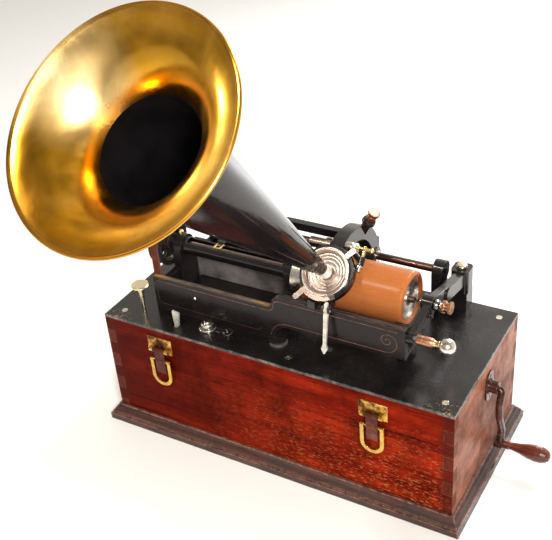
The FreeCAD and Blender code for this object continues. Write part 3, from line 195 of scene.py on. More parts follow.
def wood(name, along, dark, middle, light, fleck, roughness=0.38, specular=0.3, tint=(1, 1, 1), wear=0.6,
         worn=(0.3, 0.12, 0.06), worn_width=0.0011, front_marks=0.0, end=None):
    """Varnished timber with its grain along one axis (0 x, 1 y, 2 z).

    front_marks is the strength of the pale marks low on the right of the front panel. With it, the wood
    also gets a painted shade that darkens it to the left, and is stained at both ends. end is the end
    grain's dark and light colour.
    """
    s = Surface(name, specular=specular, tint=tint)
    across = [1.0, 1.0, 1.0]
    across[along] = 0.05
    figure_space = s.stretched(*across)
    streak_space = s.stretched(*[c if c == 1 else 0.022 for c in across])
    figure = s.noise(figure_space, 42.0, 6.0, 0.62, 0.6)
    streaks = s.noise(streak_space, 260.0, 5.0, 0.7)
    pores = s.noise(figure_space, 900.0, 3.0, 0.7)
    blend = s.weighted(figure, 0.62, streaks)
    colour = s.ramp(blend, (0.34, dark), (0.47, middle), (0.62, light))
    colour = s.mix(s.remap(pores, 0.42, 0.30), colour, tuple(c * 0.45 for c in dark))
    grime = s.remap(s.noise(s.place, 17.0, 6.0, 0.72), 0.44, 0.64, 0.0, 0.72)
    colour = s.mix(grime, colour, tuple(c * 0.8 for c in dark))
    if front_marks:
        x, _, z = s.axes()
        # painted shade: the front darkens towards the left, standing in for the light falling off there
        colour = s.mix(s.remap(x, 0.10, -0.19, 0.0, 0.72), colour, dark)
        low = s.times(s.remap(x, -0.10, 0.19), s.remap(z, 0.125, 0.03))
        marks = s.times(s.remap(s.noise(s.stretched(0.35, 1, 1), 520.0, 4.0, 0.75), 0.54, 0.66), low)
        colour = s.mix(s.times(marks, front_marks), colour, fleck)
        at_ends = s.remap(s.maths("ABSOLUTE", x), 0.181, 0.190)
        stained = s.times(at_ends, s.remap(pores, 0.3, 0.7, 0.9, 0.6))
        colour = s.mix(stained, colour, (0.060, 0.0085, 0.0060))
    facing = s.facing()[along]
    end_grain = s.remap(s.maths("ABSOLUTE", facing), 0.7, 0.95)
    rings = s.noise(s.place, 480.0, 5.0, 0.7)
    end_dark, end_light = end or (dark, middle)
    end_colour = s.ramp(rings, (0.35, end_dark), (0.7, end_light))
    colour = s.mix(s.times(end_grain, 0.9), colour, end_colour)
    edge = s.times(s.edges(worn_width), wear)
    colour = s.mix(edge, colour, worn)
    rough = s.remap(s.plus(pores, grime), 0.3, 1.2, roughness - 0.10, roughness + 0.22)
    height = s.plus(s.times(pores, 0.7), s.times(streaks, 0.6))
    return s.join(colour, rough, height, 0.35, 0.00035, 0.0009)


def enamel(name, base=(0.0065, 0.0055, 0.006), roughness=0.16, wear=0.5, worn=(0.10, 0.07, 0.05)):
    """Old gloss black enamel: orange-peel relief, dull patches, rubbed edges and a little dust."""
    s = Surface(name)
    corner = 0.0007
    cloud = s.noise(s.place, 34.0, 6.0, 0.65)
    fine = s.noise(s.place, 420.0, 4.0, 0.6)
    colour = s.mix(s.remap(cloud, 0.35, 0.75), base, tuple(c * 2.1 for c in base))
    upward = s.remap(s.facing()[2], 0.6, 1.0)
    settled = s.times(upward, s.remap(fine, 0.45, 0.75, 0.0, 0.15))
    colour = s.mix(settled, colour, (0.13, 0.115, 0.10))
    chips = s.remap(s.speckle(330.0), 0.06, 0.03)
    chips = s.times(chips, s.remap(cloud, 0.58, 0.66))
    colour = s.mix(s.times(chips, 0.8), colour, worn)
    colour = s.mix(s.times(s.edges(corner * 1.2), wear), colour, worn)
    rough = s.remap(s.weighted(cloud, 0.6, fine), 0.3, 0.7,
                    roughness * 0.75, roughness * 1.6)
    return s.join(colour, rough, fine, 0.12, 0.0001, corner)


def bright_metal(name, base, shade, roughness, tarnish, brushed=(1, 1, 1), spots=0.2):
    """Plated or polished metal with tarnish clouds, pits and fine brushing."""
    s = Surface(name, metallic=1.0)
    cloud = s.noise(s.place, 90.0, 6.0, 0.68)
    colour = s.mix(s.remap(cloud, 0.42, 0.72, 0.0, tarnish), base, shade)
    pits = s.times(s.remap(s.speckle(620.0), 0.10, 0.04), s.remap(cloud, 0.45, 0.6))
    colour = s.mix(s.times(pits, spots), colour, tuple(c * 0.35 for c in shade))
    lines = s.noise(s.stretched(*brushed), 900.0, 3.0, 0.6)
    rough = s.remap(s.weighted(cloud, 0.7, lines), 0.3, 0.72,
                    roughness * 0.7, roughness * 1.9)
    return s.join(colour, rough, lines, 0.08, 0.00008, 0.0004)


def dull_metal(name, base, light, roughness, metallic, specular=0.5):
    """Oxidised or japanned iron with a cast skin."""
    s = Surface(name, metallic=metallic, specular=specular)
    corner = 0.0008
    cloud = s.noise(s.place, 60.0, 6.0, 0.7)
    skin = s.noise(s.place, 520.0, 5.0, 0.7)
    colour = s.ramp(cloud, (0.32, tuple(c * 0.55 for c in base)), (0.5, base), (0.7, light))
    colour = s.mix(s.times(s.edges(corner * 1.4), 0.6), colour, light)
    rough = s.remap(skin, 0.3, 0.7, roughness * 0.75, roughness * 1.35)
    return s.join(colour, rough, skin, 0.3, 0.0002, corner)


def horn_gold():
    """Lacquered brass spun in fine rings: cloudy, with painted reflection in deeper orange at the top and
    bottom and a painted highlight on one side.
    """
    s = Surface("bell_brass", metallic=1.0)
    cloud = s.noise(s.place, 16.0, 6.0, 0.6, 0.8)
    small = s.noise(s.place, 110.0, 5.0, 0.65)
    colour = s.ramp(cloud, (0.30, (0.80, 0.37, 0.018)), (0.52, (0.87, 0.46, 0.042)),
                    (0.72, (0.92, 0.58, 0.13)))
    stain = s.times(s.remap(small, 0.56, 0.72), s.remap(cloud, 0.46, 0.62))
    colour = s.mix(s.times(stain, 0.35), colour, (0.55, 0.30, 0.07))
    across, upward, axis = s.axes()
    # painted reflection: darker, deeper orange near the top and bottom of the bell
    low_rim = s.remap(upward, -0.010, -0.080, 0.0, 0.95)
    top_rim = s.remap(upward, 0.045, 0.085, 0.0, 0.75)
    painted_dark_reflection = s.times(s.maths("MAXIMUM", low_rim, top_rim), s.remap(small, 0.30, 0.60, 0.7, 1.0))
    colour = s.mix(painted_dark_reflection, colour, (0.70, 0.27, 0.007))
    # painted highlight: a pale, rougher patch that spreads the flash's highlight over one side of the bell
    highlight_across, highlight_upward = -0.064, 0.028
    away_x = s.maths("SUBTRACT", across, highlight_across)
    away_y = s.maths("SUBTRACT", upward, highlight_upward)
    away = s.distance(away_x, away_y)
    painted_highlight = s.times(s.remap(away, 0.052, 0.012), s.remap(cloud, 0.34, 0.58, 0.55, 1.0))
    colour = s.mix(painted_highlight, colour, (0.93, 0.80, 0.46))
    rings = s.noise(s.stretched(0.0, 0.0, 1.0), 900.0, 3.0, 0.7)
    slow = s.noise(s.stretched(0.0, 0.0, 1.0), 90.0, 2.0, 0.5)
    wipe = s.noise(s.stretched(1.0, 0.25, 0.6), 60.0, 5.0, 0.6)
    rough = s.remap(s.weighted(cloud, 0.6, wipe), 0.34, 0.68,
                    0.10, 0.27)
    rough = s.plus(rough, s.times(painted_highlight, 0.16))
    rim = s.remap(axis, 0.3485, 0.3498)
    colour = s.mix(s.times(rim, 0.45), colour, (0.42, 0.22, 0.05))
    height = s.plus(s.times(rings, 0.25), s.plus(s.times(slow, 1.2), s.times(wipe, 0.8)))
    return s.join(colour, rough, height, 0.16, 0.0006)


def horn_black():
    """Deep gloss enamel on the sheet-metal cone, slightly uneven, with a few bright chips."""
    s = Surface("horn_enamel", specular=0.22)
    cloud = s.noise(s.place, 12.0, 5.0, 0.6, 0.5)
    fine = s.noise(s.place, 260.0, 4.0, 0.6)
    colour = s.mix(s.remap(cloud, 0.4, 0.7), (0.006, 0.0045, 0.005), (0.016, 0.011, 0.012))
    chips = s.times(s.remap(s.speckle(240.0), 0.055, 0.03), s.remap(cloud, 0.50, 0.56))
    colour = s.mix(s.times(chips, 0.9), colour, (0.34, 0.28, 0.20))
    rough = s.remap(fine, 0.3, 0.7, 0.06, 0.16)
    ripple = s.plus(s.noise(s.stretched(1, 1, 0.35), 55.0, 3.0), s.times(fine, 0.15))
    return s.join(colour, rough, ripple, 0.22, 0.0008)


def painted_throat_shade():
    """Painted shade for the inside of the horn: flat black with a faint dusty bloom."""
    s = Surface("horn_inside_shade", specular=0.12)
    cloud = s.noise(s.place, 26.0, 5.0, 0.65)
    colour = s.mix(s.remap(cloud, 0.4, 0.75), (0.0022, 0.0018, 0.0025), (0.0055, 0.0045, 0.006))
    rough = s.remap(cloud, 0.3, 0.7, 0.55, 0.8)
    return s.join(colour, rough, cloud, 0.1, 0.0003)


def wax():
    """Moulded brown wax: fine grooves round the cylinder, cloudy blooms and paler rubbed ends."""
    s = Surface("record_wax", specular=0.22)
    x, _, _ = s.axes()
    band = s.noise(s.stretched(1.0, 0.0, 0.0), 620.0, 3.0, 0.75)
    groove = s.noise(s.stretched(1.0, 0.0, 0.0), 3800.0, 2.0, 0.8)
    cloud = s.noise(s.place, 46.0, 6.0, 0.6)
    colour = s.ramp(band, (0.30, (0.23, 0.037, 0.005)), (0.52, (0.295, 0.052, 0.0075)),
                    (0.72, (0.36, 0.073, 0.012)))
    colour = s.mix(s.remap(cloud, 0.46, 0.72, 0.0, 0.35), colour, (0.37, 0.090, 0.020))
    ends = s.plus(s.remap(x, 0.1180, 0.1205), s.remap(x, 0.0165, 0.0145))
    colour = s.mix(s.times(ends, 0.55), colour, (0.52, 0.19, 0.055))
    scratch = s.remap(s.noise(s.stretched(0.4, 6.0, 6.0), 70.0, 2.0), 0.62, 0.66)
    colour = s.mix(s.times(scratch, 0.07), colour, (0.75, 0.42, 0.2))
    rough = s.remap(s.weighted(band, 0.6, cloud), 0.3, 0.7,
                    0.20, 0.34)
    height = s.plus(s.times(groove, 0.5), s.times(band, 0.8))
    return s.join(colour, rough, height, 0.25, 0.0001)


def reproducer_metal():
    """Turned plate of the reproducer: rings of bright nickel with pink copper showing through."""
    s = Surface("reproducer_metal", metallic=1.0)
    x, y, _ = s.axes()
    radius = s.distance(x, y)
    along = s.add("ShaderNodeCombineXYZ", {"X": radius}).outputs[0]
    band = s.noise(along, 300.0, 1.0, 0.5)
    cloud = s.noise(s.place, 110.0, 5.0, 0.7)
    mixed = s.weighted(band, 0.88, cloud)
    colour = s.ramp(mixed, (0.33, (0.36, 0.20, 0.15)), (0.42, (0.66, 0.48, 0.41)),
                    (0.50, (0.80, 0.68, 0.62)), (0.58, (0.88, 0.84, 0.79)))
    lines = s.noise(along, 2600.0, 2.0, 0.7)
    rough = s.remap(mixed, 0.35, 0.65, 0.34, 0.15)
    return s.join(colour, rough, lines, 0.06, 0.00004)


def worn_brass():
    """Brass plate that is bright at its edges and browned by dirt and old varnish in between."""
    s = Surface("worn_brass", metallic=0.85)
    cloud = s.noise(s.place, 62.0, 5.0, 0.62)
    fine = s.noise(s.place, 900.0, 3.0, 0.6)
    colour = s.ramp(cloud, (0.40, (0.055, 0.017, 0.009)), (0.47, (0.22, 0.085, 0.020)),
                    (0.54, (0.60, 0.35, 0.07)), (0.66, (0.78, 0.52, 0.14)))
    colour = s.mix(s.times(s.edges(0.0007), 0.75), colour, (0.80, 0.54, 0.15))
    rough = s.remap(cloud, 0.40, 0.60, 0.45, 0.18)
    return s.join(colour, rough, s.plus(cloud, s.times(fine, 0.2)), 0.15, 0.0002, 0.0006)


def leather():
    """Oiled belt leather: hide grain on the face, darker worn edges."""
    s = Surface("belt_leather", specular=0.2)
    x, _, _ = s.axes()
    grain = s.speckle(1500.0)
    cloud = s.noise(s.place, 120.0, 5.0, 0.65)
    colour = s.ramp(cloud, (0.3, (0.05, 0.008, 0.003)), (0.55, (0.115, 0.018, 0.005)),
                    (0.75, (0.20, 0.038, 0.008)))
    edge = s.plus(s.remap(x, -0.1685, -0.1695), s.remap(x, -0.1615, -0.1605))
    colour = s.mix(s.times(edge, 0.55), colour, (0.42, 0.13, 0.045))
    rough = s.remap(cloud, 0.3, 0.7, 0.34, 0.55)
    height = s.plus(s.times(grain, 0.8), s.times(cloud, 0.5))
    return s.join(colour, rough, height, 0.35, 0.00025, 0.0004)


def mica():
    """A cloudy mica diaphragm with flaky layers."""
    s = Surface("mica_sheet", specular=0.6, coat=0.4, coat_roughness=0.08)
    flake = s.noise(s.stretched(1, 0.4, 1), 150.0, 6.0, 0.7, 1.2)
    colour = s.ramp(flake, (0.3, (0.30, 0.24, 0.15)), (0.6, (0.52, 0.45, 0.33)), (0.8, (0.65, 0.60, 0.5)))
    rough = s.remap(flake, 0.3, 0.7, 0.12, 0.3)
    return s.join(colour, rough, flake, 0.2, 0.0002)


def bed_enamel():
    """The casting's enamel, rubbed through to gold-brown metal along the top of the front rail, with a
    painted reflection in pale grey on the back wall.
    """
    s = Surface("bed_enamel", specular=0.22)
    x, y, z = s.axes()
    cloud = s.noise(s.place, 30.0, 6.0, 0.65)
    fine = s.noise(s.place, 420.0, 4.0, 0.6)
    colour = s.mix(s.remap(cloud, 0.35, 0.75), (0.008, 0.0062, 0.0068), (0.020, 0.015, 0.0155))
    upward = s.remap(s.facing()[2], 0.55, 0.9)
    rail = s.times(s.remap(y, -0.0475, -0.0485), upward)
    left = s.remap(x, 0.002, -0.02)
    low_rail = s.times(s.times(rail, left), s.remap(z, 0.176, 0.178))
    streak = s.noise(s.stretched(0.12, 1.0, 1.0), 380.0, 5.0, 0.7)
    centre = s.near(y, -0.0515, 0.0036)
    rub = s.times(s.remap(streak, 0.36, 0.60), centre)
    ends = s.plus(s.remap(x, -0.128, -0.142), s.remap(x, -0.034, -0.014))
    gold = s.mix(ends, (0.125, 0.088, 0.062), (0.42, 0.23, 0.065))
    colour = s.mix(s.times(s.times(low_rail, rub), 0.85), colour, gold)
    high = s.times(rail, s.remap(x, 0.012, 0.03))
    thin = s.times(high, s.remap(streak, 0.42, 0.60))
    colour = s.mix(s.times(thin, 0.5), colour, (0.16, 0.10, 0.075))
    colour = s.mix(s.times(s.edges(0.0008), 0.45), colour, (0.17, 0.11, 0.08))
    # painted reflection: a pale grey band on the back wall stands in for light reflected there
    reflection_band = s.times(s.remap(y, 0.0215, 0.0195), s.remap(y, 0.015, 0.0185))
    back = s.times(reflection_band, s.remap(cloud, 0.35, 0.65, 0.25, 0.8))
    colour = s.mix(back, colour, (0.42, 0.37, 0.35))
    rough = s.remap(s.weighted(cloud, 0.6, fine), 0.3, 0.7,
                    0.14, 0.30)
    return s.join(colour, rough, fine, 0.12, 0.0001, 0.0008)


def plate_enamel():
    """The bedplate's enamel: finely scratched, with rubbed edges and chips at the front corners."""
    s = Surface("plate_enamel", specular=0.5)
    x, y, _ = s.axes()
    cloud = s.noise(s.place, 22.0, 6.0, 0.65)
    fine = s.noise(s.place, 360.0, 5.0, 0.65)
    colour = s.mix(s.remap(cloud, 0.35, 0.7), (0.0045, 0.0038, 0.0040), (0.015, 0.0125, 0.0125))
    scratches = s.remap(s.noise(s.stretched(0.15, 1.0, 1.0), 640.0, 2.0, 0.7), 0.665, 0.70)
    colour = s.mix(s.times(scratches, 0.12), colour, (0.09, 0.08, 0.075))
    dust = s.remap(s.noise(s.place, 75.0, 6.0, 0.75), 0.54, 0.80, 0.0, 0.16)
    colour = s.mix(dust, colour, (0.10, 0.088, 0.08))
    rim_x = s.remap(s.maths("ABSOLUTE", x), 0.1966, 0.1976)
    rim_y = s.remap(s.maths("ABSOLUTE", y), 0.0868, 0.0877)
    rub = s.remap(s.noise(s.place, 95.0, 6.0, 0.78), 0.46, 0.62, 0.10, 1.0)
    rim = s.times(s.maths("MAXIMUM", rim_x, rim_y), rub)
    colour = s.mix(s.times(rim, 0.75), colour, (0.19, 0.16, 0.145))
    corner = s.times(s.remap(s.maths("ABSOLUTE", x), 0.160, 0.194), s.remap(y, -0.070, -0.086))
    chips = s.times(corner, s.remap(s.noise(s.place, 260.0, 4.0, 0.8), 0.56, 0.60))
    colour = s.mix(s.times(chips, 0.9), colour, (0.42, 0.30, 0.13))
    rough = s.remap(s.weighted(cloud, 0.5, fine), 0.3, 0.7,
                    0.13, 0.33)
    return s.join(colour, rough, fine, 0.14, 0.00012, 0.0005)


def stripe_paint(name, strength):
    """Old gold lining, rubbed thin in places."""
    s = Surface(name, specular=0.4)
    wear = s.noise(s.place, 170.0, 5.0, 0.75)
    stops = ((0.36, (0.028, 0.013, 0.010)), (0.50, (0.15, 0.060, 0.034)), (0.72, (0.26, 0.115, 0.055)))
    colour = s.ramp(wear, *((at, tuple(c * strength for c in paint)) for at, paint in stops))
    return s.join(colour, s.remap(wear, 0.3, 0.7, 0.3, 0.5), wear, 0.1, 0.00005)


def pale_floor():
    """The studio floor: matt white paper with a trace of tooth."""
    s = Surface("floor_paper", specular=0.0)
    tooth = s.noise(s.place, 60.0, 3.0)
    colour = s.mix(tooth, (0.93, 0.93, 0.93), (0.95, 0.95, 0.95))
    return s.join(colour, 1.0)


MATERIALS = {
    # The front's end grain shows on the side faces, so its greyer end colours carry the same painted sheen
    # as the side panels.
    "front_wood": wood("front_wood", 0, (0.026, 0.0011, 0.0005), (0.185, 0.0066, 0.0012),
                       (0.34, 0.023, 0.0034), (0.62, 0.21, 0.075), specular=0.045, tint=(1.0, 0.35, 0.2),
                       front_marks=0.85, end=((0.085, 0.025, 0.014), (0.24, 0.075, 0.038))),
    # painted sheen: the side panels' paler, greyer browns stand in for reflected light on the same mahogany
    # as the front
    "side_wood_and_sheen": wood("side_wood_and_sheen", 1, (0.090, 0.030, 0.020), (0.27, 0.085, 0.045), (0.42, 0.150, 0.080),
                      (0.6, 0.25, 0.1), specular=0.12, roughness=0.34, tint=(1.0, 0.58, 0.46),
                      end=((0.030, 0.0018, 0.0006), (0.115, 0.0060, 0.0018))),
    # The moulding's pale worn edges are partly wear and partly painted highlight along the edges of its
    # profile.
    "moulding_wood": wood("moulding_wood", 0, (0.009, 0.0035, 0.0035), (0.034, 0.0115, 0.0085),
                          (0.085, 0.030, 0.020), (0.3, 0.15, 0.1), roughness=0.34, specular=0.55,
                          wear=1.0, worn=(0.46, 0.21, 0.145), worn_width=0.0022),
    "inner_wood": wood("inner_wood", 0, (0.16, 0.085, 0.04), (0.30, 0.18, 0.095), (0.42, 0.28, 0.16),
                       (0.5, 0.3, 0.2), roughness=0.65, worn=(0.45, 0.3, 0.2)),
    "handle_wood": wood("handle_wood", 0, (0.035, 0.006, 0.004), (0.105, 0.018, 0.009),
                        (0.21, 0.048, 0.022), (0.5, 0.2, 0.1), roughness=0.15, specular=0.6,
                        worn=(0.26, 0.10, 0.06)),
    "bed": bed_enamel(),
    "plate": plate_enamel(),
    "enamel": enamel("black_enamel"),
    # The foot's greyish base and pale grey edges are painted highlight, with some real wear at the edges.
    "foot_enamel_and_highlight": enamel("foot_enamel_and_highlight", base=(0.040, 0.038, 0.037), roughness=0.30, wear=1.0,
                          worn=(0.34, 0.32, 0.30)),
    # The pale edges of the feed-screw cover are partly wear and partly painted highlight: they make the
    # bright lines along its slot.
    "cover_enamel_and_highlight": enamel("cover_enamel_and_highlight", roughness=0.13, wear=0.95, worn=(0.42, 0.33, 0.24)),
    "pulley_enamel": enamel("pulley_enamel", base=(0.02, 0.017, 0.015), roughness=0.2, wear=0.8,
                            worn=(0.30, 0.24, 0.19)),
    "horn_gold": horn_gold(),
    "horn_black": horn_black(),
    "throat": painted_throat_shade(),
    "wax": wax(),
    "leather": leather(),
    "mica": mica(),
    "nickel": bright_metal("nickel", (0.74, 0.69, 0.62), (0.40, 0.33, 0.26), 0.19, 0.45),
    "pink_nickel": bright_metal("pink_nickel", (0.66, 0.53, 0.47), (0.36, 0.20, 0.155), 0.20, 0.6),
    "reproducer": reproducer_metal(),
    "mandrel_nickel": bright_metal("mandrel_nickel", (0.78, 0.72, 0.64), (0.52, 0.43, 0.35), 0.22, 0.4,
                                   spots=0.0),
    "lever_nickel": dull_metal("lever_nickel", (0.62, 0.58, 0.52), (0.86, 0.84, 0.79), 0.28, 0.15),
    # The ferrule's pale base, nearly white at its edges, is partly nickel and partly painted highlight.
    "neck_nickel_and_highlight": dull_metal("neck_nickel_and_highlight", (0.80, 0.77, 0.73), (0.93, 0.92, 0.90), 0.24, 0.3),
    "steel": bright_metal("bright_steel", (0.60, 0.57, 0.53), (0.28, 0.22, 0.18), 0.24, 0.5, (0.1, 1, 1)),
    "rod_steel": bright_metal("rod_steel", (0.17, 0.115, 0.095), (0.08, 0.048, 0.04), 0.26, 0.6,
                              (0.1, 1, 1)),
    # painted shade: the steel feed screw is given a dark bronze colour so it stays dark inside its cover's
    # slot
    "shaded_screw_steel": bright_metal("shaded_screw_steel", (0.11, 0.075, 0.062), (0.05, 0.03, 0.025), 0.34, 0.6),
    "dark_nickel": bright_metal("dark_nickel", (0.42, 0.40, 0.38), (0.10, 0.09, 0.085), 0.12, 0.9),
    "barrel_copper": bright_metal("barrel_copper", (0.60, 0.30, 0.19), (0.36, 0.14, 0.08), 0.30, 0.6,
                                  spots=0.0),
    "brass": bright_metal("brass", (0.82, 0.60, 0.26), (0.42, 0.26, 0.09), 0.20, 0.55),
    "cream_brass": bright_metal("cream_brass", (0.86, 0.73, 0.50), (0.52, 0.36, 0.16), 0.22, 0.5),
    "catch_brass": worn_brass(),
    "loop_brass": bright_metal("loop_brass", (0.80, 0.54, 0.13), (0.34, 0.16, 0.035), 0.20, 0.75,
                               spots=0.4),
    "copper": bright_metal("copper_knurl", (0.50, 0.27, 0.155), (0.13, 0.052, 0.026), 0.22, 0.9, spots=0.1),
    "governor_brass": bright_metal("governor_brass", (0.70, 0.52, 0.22), (0.40, 0.27, 0.10), 0.3, 0.4),
    "catch_steel": dull_metal("catch_steel", (0.085, 0.019, 0.012), (0.19, 0.060, 0.038), 0.35, 0.1,
                              specular=0.15),
    "crank_iron": dull_metal("crank_iron", (0.060, 0.020, 0.014), (0.19, 0.078, 0.052), 0.24, 0.4),
    "motor_iron": dull_metal("motor_iron", (0.03, 0.03, 0.032), (0.07, 0.068, 0.066), 0.5, 0.3),
    "spring_steel": bright_metal("spring_steel", (0.22, 0.24, 0.30), (0.12, 0.10, 0.12), 0.26, 0.5),
    "stripe": stripe_paint("stripe_paint", 1.0),
    "faint_stripe": stripe_paint("faint_stripe_paint", 0.35),
}
NODE_FINISH = {
    "front_wood": ["case_front_panel", "case_rear_panel"],
    "side_wood_and_sheen": ["case_left_panel", "case_right_panel"],
    "moulding_wood": ["base_moulding"],
    "inner_wood": ["case_bottom_board", "case_cleats"],
    "handle_wood": ["crank_handle"],
    "bed": ["bed_casting"],
    "plate": ["bedplate"],
    "enamel": ["carriage_arm", "gate_arm", "rod_bracket", "shaver"],
    "cover_enamel_and_highlight": ["feed_screw_cover", "start_knob"],
    "pulley_enamel": ["belt_pulley", "motor_pulley"],
    "mica": ["diaphragm"],
    "nickel": ["bedplate_screws", "horn_neck", "latch_plunger", "stylus_weight"],
    "lever_nickel": ["brake_lever", "lift_lever"],
    "shaded_screw_steel": ["feed_screw"],
    "pink_nickel": ["reproducer_body", "reproducer_ring", "carriage_sleeve"],
    "mandrel_nickel": ["mandrel"],
    "steel": ["crank_shaft", "pulley_shaft", "spring_arbor", "second_arbor", "governor_shaft"],
    "rod_steel": ["back_rod"],
    "brass": ["bearing_bush", "half_nut", "shaver_screw"],
    "cream_brass": ["speed_screw"],
    "catch_brass": ["catch_plates"],
    "loop_brass": ["catch_loop_left", "catch_loop_right"],
    "catch_steel": ["catch_lever_left", "catch_lever_right"],
    "copper": ["set_screw", "centre_screw"],
    "governor_brass": ["governor_weights"],
    "crank_iron": ["crank_arm", "crank_escutcheon"],
    "motor_iron": ["motor_pillars", "motor_plate_left", "motor_plate_middle", "motor_plate_right",
                   "spring_barrel"],
    "spring_steel": ["mainspring"],
    "leather": ["drive_belt"],
    "horn_gold": ["horn_bell"],
    "horn_black": ["horn_cone"],
    "wax": ["record_cylinder"],
}


def smooth_by_angle(limit):
    """A modifier that shades a mesh smooth, and leaves edges sharper than the limit sharp."""
    group = bpy.data.node_groups.new("smooth_by_angle", "GeometryNodeTree")
    group.interface.new_socket("Geometry", in_out="INPUT", socket_type="NodeSocketGeometry")
    group.interface.new_socket("Geometry", in_out="OUTPUT", socket_type="NodeSocketGeometry")
    nodes = group.nodes
    start = nodes.new("NodeGroupInput")
    faces = nodes.new("GeometryNodeSetShadeSmooth")
    edges = nodes.new("GeometryNodeSetShadeSmooth")
    edges.domain = "EDGE"
    edges.inputs["Shade Smooth"].default_value = False
    angle = nodes.new("GeometryNodeInputMeshEdgeAngle")
    compare = nodes.new("FunctionNodeCompare")
    compare.inputs[1].default_value = limit
    end = nodes.new("NodeGroupOutput")
    group.links.new(start.outputs[0], faces.inputs["Geometry"])
    group.links.new(faces.outputs[0], edges.inputs["Geometry"])
    group.links.new(angle.outputs["Unsigned Angle"], compare.inputs[0])
    group.links.new(compare.outputs[0], edges.inputs["Selection"])
    group.links.new(edges.outputs[0], end.inputs[0])
    return group


SMOOTH = smooth_by_angle(math.radians(28))


def dress(obj, finish):
    obj.data.materials.clear()
    obj.data.materials.append(MATERIALS[finish])


for finish_name, node_names in NODE_FINISH.items():
    for node_name in node_names:
        node_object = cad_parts[node_name]
        dress(node_object, finish_name)
        node_object.modifiers.new("smooth", "NODES").node_group = SMOOTH


# ---------------------------------------------------------------- making pieces
def head_frame():
    cos_e = math.cos(HORN_ELEVATION)
    z = Vector((-math.sin(HORN_SWING) * cos_e, -math.cos(HORN_SWING) * cos_e, math.sin(HORN_ELEVATION)))
    x = Vector((math.cos(HORN_SWING), -math.sin(HORN_SWING), 0))
    matrix = Matrix((x, z.cross(x), z)).transposed().to_4x4()
    matrix.translation = HEAD_ORIGIN
    return matrix


def axis_frame(origin, axis):
    """A matrix whose local z lies along the axis."""
    matrix = Vector(axis).normalized().to_track_quat("Z", "Y").to_matrix().to_4x4()
    matrix.translation = Vector(origin)
    return matrix


HEAD = head_frame()


def finished_mesh(name, work):
    mesh_data = bpy.data.meshes.new(name)
    work.to_mesh(mesh_data)
    work.free()
    return mesh_data


def new_piece(name, mesh_data, body, finish, matrix=None, sharp=32.0):
    piece = bpy.data.objects.new(name, mesh_data)
    bpy.context.scene.collection.objects.link(piece)
    if matrix is not None:
        piece.matrix_world = matrix
        bpy.context.view_layer.update()
    for polygon in mesh_data.polygons:
        polygon.use_smooth = True
    mesh_data.set_sharp_from_angle(angle=math.radians(sharp))
    dress(piece, finish)
    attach(piece, body)
    return piece


def lathe(name, profile, body, finish, matrix, steps=96, teeth=0, depth=0.0, sharp=32.0):
    """A solid of revolution about local z from (radius, height) points in millimetres, optionally knurled.

    A third number on a point, from 0 to 1, says how much of the knurling depth it has.
    """
    work = bmesh.new()
    count = teeth * 4 if teeth else steps
    rings = []
    for point in profile:
        radius, height = point[0], point[1]
        share = point[2] if len(point) > 2 else 0.0
        if radius < ON_AXIS:
            rings.append([work.verts.new((0, 0, height * MM))] * count)
            continue
        ring = []
        for k in range(count):
            angle = 2 * math.pi * k / count
            dip = depth * share * (0.5 - 0.5 * math.cos(2 * math.pi * teeth * k / count)) if teeth else 0.0
            r = (radius - dip) * MM
            ring.append(work.verts.new((r * math.cos(angle), r * math.sin(angle), height * MM)))
        rings.append(ring)
    pairs = list(zip(rings, rings[1:]))
    if profile[0][0] > ON_AXIS:
        pairs.append((rings[-1], rings[0]))
    for low, high in pairs:
        for k in range(count):
            after = (k + 1) % count
            corners = [low[k], low[after], high[after], high[k]]
            unique = list(dict.fromkeys(corners))
            if len(unique) > 2:
                work.faces.new(unique)
    bmesh.ops.recalc_face_normals(work, faces=work.faces)
    return new_piece(name, finished_mesh(name, work), body, finish, matrix, sharp)


def ring_bead(name, radius, height, thickness, body, finish, matrix, steps):
    points = []
    for k in range(12):
        angle = 2 * math.pi * k / 12
        points.append((radius + thickness * math.cos(angle), height + thickness * math.sin(angle)))
    return lathe(name, points, body, finish, matrix, steps, sharp=60)


def ribbon(name, points, width, y, body, finish):
    """A painted line: a thin strip on a plane of constant y through (x, z) points in millimetres."""
    path = [Vector(p) for p in points]
    work = bmesh.new()
    rows = []
    for k, here in enumerate(path):
        before = path[max(k - 1, 0)]
        after = path[min(k + 1, len(path) - 1)]
        along = (after - before).normalized()
        side = Vector((-along.y, along.x)) * width / 2
        row = []
        for offset, proud in ((side, 0.02), (side * 0.6, 0.09), (-side * 0.6, 0.09), (-side, 0.02)):
            spot = here + offset
            row.append(work.verts.new((spot.x * MM, (y - proud) * MM, spot.y * MM)))
        rows.append(row)
    for low, high in zip(rows, rows[1:]):
        for k in range(3):
            work.faces.new((low[k], low[k + 1], high[k + 1], high[k]))
    bmesh.ops.recalc_face_normals(work, faces=work.faces)
    return new_piece(name, finished_mesh(name, work), body, finish, sharp=80)


def arc(centre, radius, start, end, steps):
    turn = [math.radians(start + (end - start) * k / steps) for k in range(steps + 1)]
    return [(centre[0] + radius * math.cos(a), centre[1] + radius * math.sin(a)) for a in turn]


